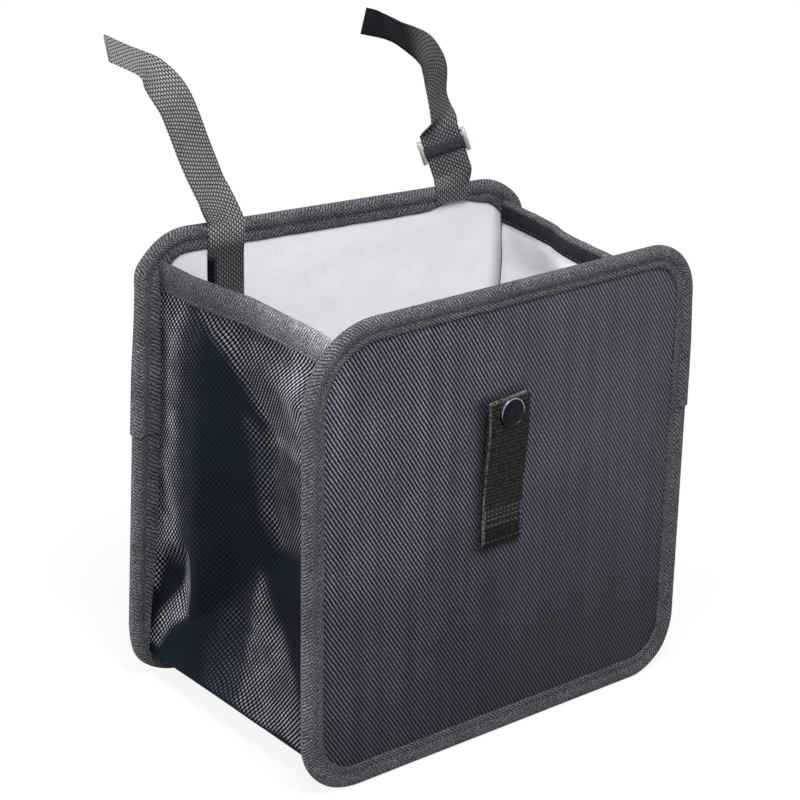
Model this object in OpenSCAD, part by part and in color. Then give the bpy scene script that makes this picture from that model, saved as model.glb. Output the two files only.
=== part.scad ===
// Open-topped car trash bag: two stiff fabric panels joined by folding gussets and a base,
// bound with tape, lined inside, with a snap tab in front and two hanging straps behind.
// The front faces -Y, the bag stands on the lower edges of its panels at z = 0.

/* [Panels] */
// Width of the front and back panels
panel_w = 238; // [210:1:260]
// Height of the front panel, and of the back panel at its middle
panel_h = 235; // [215:1:255]
// Depth of the bag over both panels, at its middle
bag_depth = 150; // [130:1:170]
// Radius of the panels' lower corners
bottom_r = 30; // [24:1:36]
// Radius of the upper corners
top_r = 28; // [24:1:36]
// Radius of the front panel's upper left corner, which the gusset's tuck pulls in
tucked_r = 40; // [28:1:46]

/* [Skew of the back panel] */
// Degrees that the back panel is turned, so that the bag is deeper at the left
back_turn = 2.4; // [0:0.1:3]
// Degrees that the back panel leans to the right
back_lean = 2.6; // [0:0.1:3]
// Degrees that the back panel's upper edge falls to the right
back_fall = 1.9; // [0:0.1:3]

/* [Layers] */
// Thickness of the stiffening boards
board_t = 2; // [1.5:0.1:3]
// Thickness of the outer cloth
cloth_t = 0.8; // [0.5:0.1:1.2]
// Thickness of the lining film
lining_t = 0.4; // [0.3:0.1:0.8]
// Gap between layers that are sewn together
seat_gap = 0.1; // [0.05:0.05:0.2]
// How far the boards stop short of the cloth's edge
board_margin = 3; // [2:0.5:6]

/* [Edge tape] */
// Thickness of the binding tape
tape_t = 0.9; // [0.6:0.1:1.2]
// Width of the tape on each face of a panel
tape_leg = 10.5; // [8:0.5:13]
// Width of the tape on each face of a gusset's upper edge
rim_leg = 13; // [9:0.5:15]
// Extra thickness where the tape's ends overlap
overlap_t = 0.6; // [0.3:0.1:1]
// Height of the cut end of the overlap on the front panel
front_overlap_z = 147; // [120:1:170]
// Height of the cut end of the overlap on the back panel
back_overlap_z = 136; // [120:1:170]

/* [Gussets and base] */
// Height of the base's underside above the panels' lower edges
base_z = 14; // [10:1:18]
// How far the gussets' cloth reaches under the tape of the panels
seam = 0.8; // [0.5:0.1:2]
// Drop of the left gusset's rim below the panels' top
left_rim_drop = 12; // [8:0.5:18]
// Drop of the right gusset's rim at the back
right_rim_drop = 13.5; // [8:0.5:18]
// Further drop of the right gusset's rim at the front
right_rim_sag = 5; // [0:0.5:8]
// How far the left tuck draws the rim in at the front panel
front_tuck = 13; // [4:0.5:16]
// How far each other tuck draws the rim in
small_tuck = 6; // [2:0.5:10]
// Height over which a tuck draws the gusset in, below the rim
tuck_h = 20; // [12:1:30]
// Height of the point where the base creases meet the middle crease
apex_z = 96; // [80:1:110]
// Depth of the middle crease at that point
crease_d = 13; // [6:0.5:16]
// Depth of the middle crease under the rim
rim_crease_d = 3; // [1:0.5:6]
// How far the back half of a gusset swells outward
swell = 3.5; // [0:0.5:5]

/* [Tab and snap] */
// Width of the tab's webbing
tab_w = 25; // [20:0.5:30]
// Thickness of the tab, which is webbing folded double
tab_t = 2.4; // [1.6:0.1:3]
// Height of the tab's lower end
tab_z = 105; // [90:1:115]
// Length of the tab
tab_l = 76; // [60:1:85]
// Length of the tab's lower end that is stitched flat
tab_sewn_l = 20; // [12:1:25]
// Place of the tab's middle, to the left of the panel's
tab_x = 3; // [0:0.5:10]
// Distance of the snap from the tab's upper end
snap_inset = 9; // [8.5:0.5:12]
// Place of the snap, to the right of the tab's middle
snap_right = 1.2; // [0:0.2:2]
// Diameter of the snap's cap
cap_d = 14.6; // [12:0.2:16]
// Height of the snap's cap
cap_h = 1.8; // [1.2:0.1:2.6]
// Diameter of the snap's socket and of the stud's flange
socket_d = 10.5; // [9:0.5:12]
// Height of the socket and stud together, snapped
snap_h = 3.2; // [2.6:0.1:4]
// Diameter of the stud
stud_d = 4; // [3:0.1:5]
// Diameter of the rivet shanks
shank_d = 2.6; // [2:0.1:2.8]
// Running clearance round the stud and the shanks, on the radius
snap_play = 0.1; // [0.05:0.05:0.2]

/* [Straps] */
// Width of the strap webbing
strap_w = 21; // [18:0.5:24]
// Thickness of the strap webbing
strap_t = 1.4; // [1:0.1:2]
// Place of the left strap on the back panel, to the left of its middle
left_strap_x = 60; // [50:1:75]
// Height of the left strap's sewn lower end
left_strap_z = 150; // [130:1:180]
// Place of the right strap on the back panel, to the right of its middle
right_strap_x = 80; // [65:1:85]

/* [Slider] */
// Height of the slider along the strap
slider_h = 12; // [10:0.5:14]
// Width of each end rail of the slider
rail_w = 2.4; // [1.8:0.1:3]
// Thickness of the slider's bars
bar_t = 1.6; // [1.2:0.1:2]
// Height of the slider's middle bar, which is in front of the strap
middle_bar_h = 5.6; // [4:0.2:6]
// Height of each outer bar, behind the strap
outer_bar_h = 2.2; // [1.8:0.1:2.6]
// Clearance between the slider and the strap all round
slider_gap = 0.3; // [0.2:0.05:0.5]
// Degrees that the slider is turned towards the left front
slider_turn = 31; // [20:1:36]
// Degrees that the slider's right end is raised
slider_rise = 19; // [12:1:22]
// Length of strap that is straight below the slider's middle
straight_down = 16; // [15:0.5:17]
// Length of strap that is straight above the slider's middle
straight_up = 9; // [8.5:0.5:10]

/* [Hidden] */
$fn = 48;

// Steps in each rounded corner of an outline
corner_steps = 8;
// Columns and rows of facets in a gusset
gusset_cols = 14;
gusset_rows = 15;
// Rings of facets between two stations of a strap
strap_steps = 3;
// Overrun of a cut past the faces that it opens
over = 1;

// Depths of a panel's layers, measured inward from the tape's outer face
cloth_from = tape_t + seat_gap;
board_from = cloth_from + cloth_t;
lining_from = board_from + board_t;
stack_to = lining_from + lining_t;
panel_t = stack_to + seat_gap + tape_t;

// Corners of a panel, anticlockwise from the lower left, seen from the front
front_corners = [[-panel_w / 2, 0], [panel_w / 2, 0], [panel_w / 2, panel_h], [-panel_w / 2, panel_h]];
front_radii = [bottom_r, bottom_r, top_r, tucked_r];
lean_x = panel_h * tan(back_lean);
fall_z = panel_w / 2 * tan(back_fall);
back_corners = [[-panel_w / 2, 0], [panel_w / 2, 0],
    [panel_w / 2 + lean_x, panel_h - fall_z], [-panel_w / 2 + lean_x, panel_h + fall_z]];
back_radii = [bottom_r, bottom_r, top_r, top_r];

// Where the gussets and the base meet the panels
edge_x = panel_w / 2 - tape_leg + seam;
overlap_leg = tape_leg - 2 * seam;
seat_depth = panel_t + seat_gap;
base_top = base_z + cloth_t + board_t + lining_t;
gusset_t = cloth_t + seat_gap + lining_t;
// Height of the rim's tape, in which a gusset's folds stay the same
rim_band = rim_leg + 2;
// Columns of a gusset, as parts of its depth, where its middle crease runs
crease_top_u = 0.57;
crease_apex_u = 0.67;

// The snap's place and its stack of heights in front of the cloth
snap_x = snap_right - tab_x;
snap_z = tab_z + tab_l - snap_inset;
cloth_y = -bag_depth / 2 + cloth_from;
tab_back_y = cloth_y - snap_h;
flange_t = 0.8;
washer_t = 1;
dimple_d = 2.4;
dimple_h = 0.5;

// Middles of the straps where they pass the back panel's upper edge
left_top_z = panel_h + left_strap_x * tan(back_fall);
right_top_z = panel_h - right_strap_x * tan(back_fall);
left_root = back_at(-left_strap_x, seat_depth + strap_t / 2, left_top_z);
right_root = back_at(right_strap_x, seat_depth + strap_t / 2, right_top_z);

// The slider's middle and its axes, along the strap's width, length and thickness
slider_at = right_root + [-3, 4.5, 22.5];
slider_w_dir = [cos(slider_rise) * cos(slider_turn), -cos(slider_rise) * sin(slider_turn), sin(slider_rise)];
slider_t_dir = [-sin(slider_rise) * cos(slider_turn), sin(slider_rise) * sin(slider_turn), cos(slider_rise)];

// Free lengths of the straps: middle points, each with the direction of the strap's width.
// The left strap's are measured from its root, the right strap's from the slider.
left_strap_free = [
    [[-10, -1.5, 20], [0.9, 0.2, 0.4]],
    [[-20, -4.5, 40], [0.9, 0.1, 0.5]],
    [[-30, -7.5, 60], [0.9, 0.1, 0.5]],
    [[-36, -9.5, 71], [0.8, 0.2, 0.5]],
    [[-41, -9.5, 79], [0.8, 0.3, 0.5]],
    [[-46, -8.5, 86], [0.7, 0.5, 0.5]],
    [[-51, -7.5, 91], [0.5, 0.8, 0.4]],
    [[-57, -5.5, 94], [0.5, 0.8, 0.3]],
    [[-66, -1.5, 97], [0.4, 0.9, 0.2]]];
right_strap_free = [
    [[-3, 2, 17], [1.0, 0.1, 0.2]],
    [[-4, 2, 25], [0.9, 0.4, 0.2]],
    [[-6, 1, 38], [0.9, 0.3, 0.3]],
    [[-9, 0, 46], [0.8, 0.4, 0.5]],
    [[-14, -1, 53], [0.6, 0.5, 0.6]],
    [[-21, -2, 58], [0.3, 0.8, 0.6]],
    [[-29, -3, 63], [0.1, 0.9, 0.4]],
    [[-45, -5, 71], [0.0, 1.0, 0.3]],
    [[-60, -7, 76], [0.0, 0.9, 0.4]]];

function lerp(a, b, t) = a + (b - a) * t;
function part01(t) = max(0, min(1, t));
function unit(v) = v / norm(v);
function smooth(t) = let (p = part01(t)) p * p * (3 - 2 * p);

// Outward unit normal of the edge from a to b
function edge_normal(a, b) = let (d = b - a) [d.y, -d.x] / norm(d);

// Points of the rounded corner at q, between the edges p-q and q-s
function corner_arc(p, q, s, r, inset) =
    let (n1 = edge_normal(p, q), n2 = edge_normal(q, s))
    let (centre = q - r * (n1 + n2) / (1 + n1 * n2))
    let (from = atan2(n1.y, n1.x), sweep = (atan2(n2.y, n2.x) - from + 360) % 360)
    [for (i = [0:corner_steps]) let (a = from + sweep * i / corner_steps)
        centre + (r - inset) * [cos(a), sin(a)]];

// Outline of a panel with rounded corners, drawn in by an inset
function outline(corners, radii, inset) =
    [for (i = [0:3]) each corner_arc(corners[(i + 3) % 4], corners[i], corners[(i + 1) % 4], radii[i], inset)];

// A point of the front or back panel at a depth inward from its outer face
function front_at(x, depth, z) = [x, -bag_depth / 2 + depth, z];
function back_at(x, depth, z) = [x * cos(back_turn) - depth * sin(back_turn),
    bag_depth / 2 - x * sin(back_turn) - depth * cos(back_turn), z];

// A gusset's rim height at a part u of its depth, from the back panel to the front one
function rim_z(side, u) = side < 0 ? panel_h - left_rim_drop
    : panel_h - right_rim_drop - right_rim_sag * u;

// How far a tuck has drawn a gusset in at height z
function tucked(amount, top, z) = amount * smooth((z - (top - rim_band - tuck_h)) / tuck_h);

// Inward depth of a gusset's folds: a middle crease, and a triangle that rises from the base
function fold(u, t, apex_t) = t <= apex_t
    ? let (k = t / apex_t, left = crease_apex_u * k, right = 1 - (1 - crease_apex_u) * k)
        crease_d * k * min(1, k > 0 ? min(u / left, (1 - u) / (1 - right)) : 0)
    : let (k = (t - apex_t) / (1 - apex_t), c = lerp(crease_apex_u, crease_top_u, k))
        lerp(crease_d, rim_crease_d, k) * min(u / c, (1 - u) / (1 - c));

// Outward swell of the half of a gusset next to the back panel
function swelling(u, t) = swell * sin(180 * part01(u / 0.3)) * smooth((t - 0.15) / 0.3) * (1 - 0.6 * smooth(t - 0.6));

// A point of a gusset at part u of its depth and height z, at a distance in from its outer face
function gusset_at(side, u, z, inward) =
    let (top = rim_z(side, u), level = min(z, top - rim_band))
    let (t = (level - base_z) / (top - rim_band - base_z), apex_t = (apex_z - base_z) / (top - rim_band - base_z))
    let (front = front_at(side * (edge_x - tucked(side < 0 ? front_tuck : small_tuck, top, z)), seat_depth, z))
    let (back = back_at(side * (edge_x - tucked(small_tuck, top, z)) + z * tan(back_lean), seat_depth, z))
    lerp(back, front, u) - [side * (fold(u, t, apex_t) - swelling(u, t) + inward), 0, 0];

// Height of a row of a gusset: even rows up to the rim's tape, and one at the rim
function row_z(side, u, row) = row > gusset_rows ? rim_z(side, u)
    : lerp(base_z, rim_z(side, u) - rim_band, row / gusset_rows);

// Faces of a closed sheet made of two grids of points, outer first; columns by rows
function sheet_faces(cols, rows, flip) =
    let (n = (cols + 1) * (rows + 1))
    let (at = function (c, r, k) k * n + r * (cols + 1) + c)
    let (faces = concat(
        [for (r = [0:rows - 1]) for (c = [0:cols - 1])
            each [[at(c, r, 0), at(c, r + 1, 0), at(c + 1, r, 0)],
                [at(c + 1, r, 0), at(c, r + 1, 0), at(c + 1, r + 1, 0)],
                [at(c, r, 1), at(c + 1, r, 1), at(c, r + 1, 1)],
                [at(c + 1, r, 1), at(c + 1, r + 1, 1), at(c, r + 1, 1)]]],
        [for (c = [0:cols - 1])
            each [[at(c, 0, 0), at(c + 1, 0, 0), at(c, 0, 1)], [at(c + 1, 0, 0), at(c + 1, 0, 1), at(c, 0, 1)],
                [at(c, rows, 0), at(c, rows, 1), at(c + 1, rows, 0)],
                [at(c + 1, rows, 0), at(c, rows, 1), at(c + 1, rows, 1)]]],
        [for (r = [0:rows - 1])
            each [[at(0, r, 0), at(0, r, 1), at(0, r + 1, 0)], [at(0, r + 1, 0), at(0, r, 1), at(0, r + 1, 1)],
                [at(cols, r, 0), at(cols, r + 1, 0), at(cols, r, 1)],
                [at(cols, r + 1, 0), at(cols, r + 1, 1), at(cols, r, 1)]]]))
    flip ? [for (f = faces) [f[0], f[2], f[1]]] : faces;

// Faces of a closed tube of rings with a given number of corners; cap lists the triangles of its first end
function tube_faces(rings, corners, cap) = concat(
    cap,
    [for (f = cap) [for (i = [2:-1:0]) (rings - 1) * corners + f[i]]],
    [for (r = [0:rings - 2]) for (i = [0:corners - 1])
        let (j = (i + 1) % corners, a = r * corners, b = a + corners)
        each [[a + i, b + i, a + j], [a + j, b + i, b + j]]]);

// Curve through b and c, with a and d before and after them
function spline(a, b, c, d, t) = 0.5 * (2 * b + (c - a) * t
    + (2 * a - 5 * b + 4 * c - d) * pow(t, 2) + (3 * b - a - 3 * c + d) * pow(t, 3));

// Stations along a strap, with more of them set between by a smooth curve
function smooth_stations(s) = let (n = len(s) - 1)
    [for (i = [0:n - 1]) for (k = [0:strap_steps - 1]) let (t = k / strap_steps)
        [for (m = [0:1]) spline(s[max(i - 1, 0)][m], s[i][m], s[i + 1][m], s[min(i + 2, n)][m], t)],
        s[n]];

// Frames along a strap: middle point, width direction and thickness direction
function strap_frames(stations) = let (s = smooth_stations(stations), n = len(s) - 1)
    [for (i = [0:n])
        let (along = unit(s[min(i + 1, n)][0] - s[max(i - 1, 0)][0]))
        let (across = unit(s[i][1] - (s[i][1] * along) * along))
        [s[i][0], across, cross(along, across)]];

// Station of a strap where it lies on the back panel, at a clear depth from its outer face
function strap_seat(x, depth, z) = [back_at(x, depth + strap_t / 2, z), [cos(back_turn), -sin(back_turn), 0]];

// Stations moved by the same step
function moved(stations, by) = [for (s = stations) [s[0] + by, s[1]]];

// Frame of the straight stretch of strap that passes through the slider
function slider_frame(along) = [slider_at + along * slider_t_dir, slider_w_dir, cross(slider_t_dir, slider_w_dir)];

// A plate of a panel between two depths from its outer face
module front_plate(points, from, to) {
    translate([0, -bag_depth / 2 + to, 0]) rotate([90, 0, 0]) linear_extrude(to - from) polygon(points);
}

module back_plate(points, from, to) {
    translate([0, bag_depth / 2, 0]) rotate([0, 0, -back_turn])
        translate([0, -from, 0]) rotate([90, 0, 0]) linear_extrude(to - from) polygon(points);
}

// Tape folded over the whole edge of a panel, thicker by extra and reaching in by leg
module folded_tape(corners, radii, leg, extra, is_front) {
    window = outline(corners, radii, leg);
    slot = outline(corners, radii, tape_t);
    difference() {
        panel_plate(outline(corners, radii, -extra), -extra, panel_t + extra, is_front);
        panel_plate(window, -extra - over, panel_t + extra + over, is_front);
        panel_plate(slot, tape_t, panel_t - tape_t, is_front);
    }
}

module panel_plate(points, from, to, is_front) {
    if (is_front) front_plate(points, from, to);
    else back_plate(points, from, to);
}

module front_binding() {
    color("#565459") union() {
        folded_tape(front_corners, front_radii, tape_leg, 0, true);
        // The tape's ends overlap down the right edge
        intersection() {
            folded_tape(front_corners, front_radii, overlap_leg, overlap_t, true);
            translate([0, -bag_depth, front_overlap_z])
                cube([panel_w, bag_depth, panel_h - top_r - front_overlap_z]);
        }
    }
}

module back_binding() {
    color("#565459") union() {
        folded_tape(back_corners, back_radii, tape_leg, 0, false);
        // The tape's ends overlap down the left edge
        intersection() {
            folded_tape(back_corners, back_radii, overlap_leg, overlap_t, false);
            translate([-panel_w, 0, back_overlap_z])
                cube([panel_w, bag_depth, panel_h - top_r - back_overlap_z]);
        }
    }
}

module front_cover() {
    color("#3b3c4a") difference() {
        front_plate(outline(front_corners, front_radii, cloth_from), cloth_from, board_from);
        snap_hole();
    }
}

module front_board() {
    color("#b9b6ac") difference() {
        front_plate(outline(front_corners, front_radii, cloth_from + board_margin), board_from, lining_from);
        snap_hole();
    }
}

module front_lining() {
    color("#d5dae0") difference() {
        front_plate(outline(front_corners, front_radii, cloth_from), lining_from, stack_to);
        snap_hole();
    }
}

module back_cover() {
    color("#3b3c4a") back_plate(outline(back_corners, back_radii, cloth_from), cloth_from, board_from);
}

module back_board() {
    color("#b9b6ac")
        back_plate(outline(back_corners, back_radii, cloth_from + board_margin), board_from, lining_from);
}

module back_lining() {
    color("#d5dae0") back_plate(outline(back_corners, back_radii, cloth_from), lining_from, stack_to);
}

// A layer of the base, between the panels and the gussets, drawn in at its sides
module base_plate(z, height, margin) {
    lean_in = crease_d * (z + height - base_z) / (apex_z - base_z);
    half = edge_x - gusset_t - lean_in - seat_gap - margin;
    left = -half + (z + height) * tan(back_lean);
    right = half + z * tan(back_lean);
    inward = seat_depth + margin;
    corners = [for (p = [front_at(-half, inward, z), front_at(half, inward, z),
        back_at(right, inward, z), back_at(left, inward, z)]) [p.x, p.y]];
    translate([0, 0, z]) linear_extrude(height) polygon(corners);
}

module base_cover() {
    color("#33343f") base_plate(base_z, cloth_t, 0);
}

module base_board() {
    color("#b9b6ac") base_plate(base_z + cloth_t, board_t, board_margin);
}

module base_lining() {
    color("#d5dae0") base_plate(base_top - lining_t, lining_t, 0);
}

// One layer of a gusset, between two distances in from its outer face
module gusset_layer(side, from, to) {
    points = [for (inward = [from, to]) for (row = [0:gusset_rows + 1]) for (col = [0:gusset_cols])
        let (u = col / gusset_cols) gusset_at(side, u, row_z(side, u, row), inward)];
    polyhedron(points, sheet_faces(gusset_cols, gusset_rows + 1, side > 0));
}

// Tape folded over a gusset's upper edge
module rim_tape(side) {
    inner = gusset_t + seat_gap;
    section = [[-seat_gap - tape_t, -rim_leg], [-seat_gap, -rim_leg], [-seat_gap, seat_gap], [inner, seat_gap],
        [inner, -rim_leg], [inner + tape_t, -rim_leg], [inner + tape_t, seat_gap + tape_t],
        [-seat_gap - tape_t, seat_gap + tape_t]];
    points = [for (col = [0:gusset_cols]) for (p = section)
        let (u = col / gusset_cols, top = rim_z(side, u))
        gusset_at(side, u, top + p.y, p.x)];
    cap = [[0, 1, 2], [0, 2, 7], [7, 2, 3], [7, 3, 6], [6, 3, 4], [6, 4, 5]];
    faces = tube_faces(gusset_cols + 1, len(section), cap);
    polyhedron(points, side > 0 ? [for (f = faces) [for (i = [len(f) - 1:-1:0]) f[i]]] : faces);
}

module left_gusset() {
    color("#2b2d3c") gusset_layer(-1, 0, cloth_t);
}

module left_lining() {
    color("#d5dae0") gusset_layer(-1, cloth_t + seat_gap, gusset_t);
}

module left_rim() {
    color("#565459") rim_tape(-1);
}

module right_gusset() {
    color("#2b2d3c") gusset_layer(1, 0, cloth_t);
}

module right_lining() {
    color("#cfcdd0") gusset_layer(1, cloth_t + seat_gap, gusset_t);
}

module right_rim() {
    color("#565459") rim_tape(1);
}

// A flat strap along a list of frames
module webbing(frames) {
    points = [for (f = frames) for (c = [[-1, -1], [1, -1], [1, 1], [-1, 1]])
        f[0] + c.x * strap_w / 2 * f[1] + c.y * strap_t / 2 * f[2]];
    polyhedron(points, tube_faces(len(frames), 4, [[0, 1, 2], [0, 2, 3]]));
}

module left_strap() {
    sewn = [strap_seat(-left_strap_x, stack_to + seat_gap, left_strap_z),
        strap_seat(-left_strap_x, stack_to + seat_gap, left_top_z - 2 * tape_leg),
        strap_seat(-left_strap_x, seat_depth, left_top_z - tape_leg),
        strap_seat(-left_strap_x, seat_depth, left_top_z + strap_t)];
    free = moved(left_strap_free, left_root);
    color("#5f5d5f") webbing(concat(strap_frames(sewn), strap_frames(free)));
}

module right_strap() {
    sewn = [strap_seat(right_strap_x, seat_depth, right_top_z - tape_leg),
        strap_seat(right_strap_x, seat_depth, right_top_z - tape_leg / 2),
        strap_seat(right_strap_x, seat_depth, right_top_z + strap_t)];
    through = [slider_frame(-straight_down), slider_frame(straight_up)];
    free = moved(right_strap_free, slider_at);
    color("#5f5d5f") webbing(concat(strap_frames(sewn), through, strap_frames(free)));
}

// Three-bar slider: the strap passes behind its middle bar and in front of its outer ones
module slider() {
    inside_w = strap_w + 2 * slider_gap;
    bar_y = strap_t / 2 + slider_gap;
    rail_y = bar_y + bar_t;
    color("#8b8788") translate(slider_at) rotate([0, -slider_rise, -slider_turn]) union() {
        for (side = [-1, 1])
            translate([side * (inside_w + rail_w) / 2 - rail_w / 2, -rail_y, -slider_h / 2])
                cube([rail_w, 2 * rail_y, slider_h]);
        translate([-inside_w / 2 - rail_w / 2, -rail_y, -middle_bar_h / 2])
            cube([inside_w + rail_w, bar_t, middle_bar_h]);
        for (z = [-slider_h / 2, slider_h / 2 - outer_bar_h])
            translate([-inside_w / 2 - rail_w / 2, bar_y, z])
                cube([inside_w + rail_w, bar_t, outer_bar_h]);
    }
}

// Height of the tab's back face in front of the cloth, at a distance above its lower end
function tab_lift(s) = seat_gap + (snap_h - seat_gap)
    * smooth((s - tab_sewn_l) / (tab_l - tab_sewn_l - snap_inset - socket_d / 2));

module tab() {
    steps = 18;
    back_edge = [for (i = [0:steps]) let (s = tab_l * i / steps) [-tab_lift(s), s]];
    front_edge = [for (i = [steps:-1:0]) let (s = tab_l * i / steps) [-tab_lift(s) - tab_t, s]];
    color("#2d2a2a") difference() {
        translate([-tab_x - tab_w / 2, cloth_y, tab_z]) rotate([90, 0, 90])
            linear_extrude(tab_w) polygon(concat(back_edge, front_edge));
        snap_hole();
    }
}

// Hole for the rivet shanks, right through the tab and the front panel
module snap_hole() {
    translate([snap_x, tab_back_y - tab_t - over, snap_z]) rotate([-90, 0, 0])
        cylinder(d = shank_d + 2 * snap_play, h = snap_h + tab_t + panel_t + 2 * over);
}

// A turned piece on the snap's axis; its profile runs inward from the cap, radius by depth
module turned(profile) {
    translate([snap_x, 0, snap_z]) rotate([-90, 0, 0]) rotate_extrude() polygon(profile);
}

module snap_cap() {
    face = tab_back_y - tab_t - seat_gap;
    shank_to = tab_back_y + flange_t;
    color("#23242e") turned([[0, face - cap_h + dimple_h], [dimple_d / 2, face - cap_h + dimple_h / 2],
        [dimple_d / 2 + dimple_h, face - cap_h], [cap_d / 2 - cap_h, face - cap_h],
        [cap_d / 2 - cap_h / 3, face - 2 * cap_h / 3], [cap_d / 2, face - cap_h / 4], [cap_d / 2, face],
        [shank_d / 2, face], [shank_d / 2, shank_to], [0, shank_to]]);
}

module snap_socket() {
    from = tab_back_y + seat_gap;
    to = cloth_y - flange_t - seat_gap;
    bore = shank_d / 2 + snap_play;
    cup = stud_d / 2 + snap_play;
    color("#8b8788") turned([[bore, from], [socket_d / 2, from], [socket_d / 2, to], [cup, to],
        [cup, from + flange_t], [bore, from + flange_t]]);
}

module snap_stud() {
    color("#8b8788") turned([[shank_d / 2 + snap_play, cloth_y - 2 * flange_t], [stud_d / 2, cloth_y - 2 * flange_t],
        [stud_d / 2, cloth_y - flange_t], [socket_d / 2, cloth_y - flange_t], [socket_d / 2, cloth_y],
        [shank_d / 2 + snap_play, cloth_y]]);
}

module snap_rivet() {
    inner_face = -bag_depth / 2 + stack_to;
    color("#8b8788") turned([[0, cloth_y - flange_t], [shank_d / 2, cloth_y - flange_t], [shank_d / 2, inner_face],
        [socket_d / 2, inner_face], [socket_d / 2 - washer_t / 2, inner_face + washer_t],
        [0, inner_face + washer_t]]);
}

front_binding();
front_cover();
front_board();
front_lining();
back_binding();
back_cover();
back_board();
back_lining();
base_cover();
base_board();
base_lining();
left_gusset();
left_lining();
left_rim();
right_gusset();
right_lining();
right_rim();
left_strap();
right_strap();
slider();
tab();
snap_cap();
snap_socket();
snap_stud();
snap_rivet();
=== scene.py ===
"""Looks of an open car trash bag.

Two stiff cloth panels are bound with tape and joined by folding gussets and a base. The bag has a
pale lining, a front tab closed by a snap, and two webbing straps, one of them with a slider.
Sizes in the code are in millimetres; finished meshes are in metres, at the origin.
"""

import itertools
import logging
import math
from dataclasses import dataclass
from enum import Enum

import bmesh
import bpy
import numpy as np
from mathutils import Matrix, Vector, noise
from mathutils.geometry import delaunay_2d_cdt


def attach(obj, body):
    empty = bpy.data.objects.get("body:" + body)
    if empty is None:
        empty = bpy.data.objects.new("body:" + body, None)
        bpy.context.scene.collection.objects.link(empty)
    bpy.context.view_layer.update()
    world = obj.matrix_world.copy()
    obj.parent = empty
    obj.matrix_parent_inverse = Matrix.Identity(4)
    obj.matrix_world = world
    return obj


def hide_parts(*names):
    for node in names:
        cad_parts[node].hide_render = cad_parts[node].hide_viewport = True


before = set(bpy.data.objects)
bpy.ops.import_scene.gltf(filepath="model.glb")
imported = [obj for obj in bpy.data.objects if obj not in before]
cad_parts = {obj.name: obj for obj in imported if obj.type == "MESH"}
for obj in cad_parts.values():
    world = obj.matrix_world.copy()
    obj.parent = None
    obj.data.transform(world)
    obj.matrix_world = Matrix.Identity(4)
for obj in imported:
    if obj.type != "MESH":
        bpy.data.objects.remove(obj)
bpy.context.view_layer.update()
LOG = logging.getLogger("trash_bag")
MM = 0.001
TAPE_FLAT_W = 0.030
TAPE_SHARP = 70.0
Field = float | np.ndarray


def part01(t: Field) -> Field:
    """Limits a number or an array to the range from 0 to 1."""
    return np.clip(t, 0.0, 1.0)


def smooth(t: Field) -> Field:
    """Eases a number or an array from 0 to 1."""
    p = part01(t)
    return p * p * (3.0 - 2.0 * p)


def mix(a: Field, b: Field, t: Field) -> Field:
    """Goes from a to b as t goes from 0 to 1."""
    return a + (b - a) * t


def unit(vectors: np.ndarray) -> np.ndarray:
    """Scales vectors to length 1."""
    return vectors / np.linalg.norm(vectors, axis=-1, keepdims=True)


def lengths_along(points: np.ndarray, axis: int = 0) -> np.ndarray:
    """Gives the length from the first point of a path to each of its points, along one axis of the array."""
    steps = np.linalg.norm(np.diff(points, axis=axis), axis=-1)
    return np.insert(np.cumsum(steps, axis=axis), 0, 0.0, axis=axis)


def way_round(section: np.ndarray) -> np.ndarray:
    """Gives the way round a closed section at each of its points, and back at the first."""
    return lengths_along(np.vstack([section, section[:1]]))


def shares(rows: int, cols: int) -> list[np.ndarray]:
    """Gives the share from 0 to 1 down the rows of a grid, and along its columns."""
    return np.meshgrid(np.linspace(0.0, 1.0, rows), np.linspace(0.0, 1.0, cols), indexing="ij")


def depth_inside(places: np.ndarray, corners: np.ndarray) -> np.ndarray:
    """Gives how far places lie inside a polygon, negative where they lie outside.

    Args:
        places: Places, in an array that ends in 2 coordinates.
        corners: Corners of the polygon.

    Returns:
        One distance for each place.
    """
    ends = np.roll(corners, -1, axis=0)
    edge = ends - corners
    offset = places[..., None, :] - corners
    share = part01(np.sum(offset * edge, -1) / np.sum(edge * edge, -1))
    away = np.linalg.norm(offset - share[..., None] * edge, axis=-1).min(-1)
    y, z = places[..., :1], places[..., 1:]
    passed = (corners[:, 1] > z) != (ends[:, 1] > z)
    climb = np.where(edge[:, 1] == 0, 1e-9, edge[:, 1])
    crossing = corners[:, 0] + (z - corners[:, 1]) * edge[:, 0] / climb
    inside = np.sum(passed & (y < crossing), -1) % 2
    return (2 * inside - 1) * away


def ripple(points: np.ndarray, size: float, seed: float) -> np.ndarray:
    """Gives soft unevenness from -1 to 1, the same on every run.

    Args:
        points: Places in millimetres, in an array that ends in 1, 2 or 3 coordinates.
        size: Size of one unevenness in millimetres.
        seed: Number that picks the pattern.

    Returns:
        One value for each place.
    """
    flat = np.atleast_2d(points).reshape(-1, points.shape[-1])
    padded = np.zeros((len(flat), 3))
    padded[:, :flat.shape[1]] = flat / size
    padded += (seed * 17.31, seed * 5.77, seed * 11.13)
    values = [noise.noise(Vector(p)) for p in padded]
    return np.array(values).reshape(points.shape[:-1])


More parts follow.
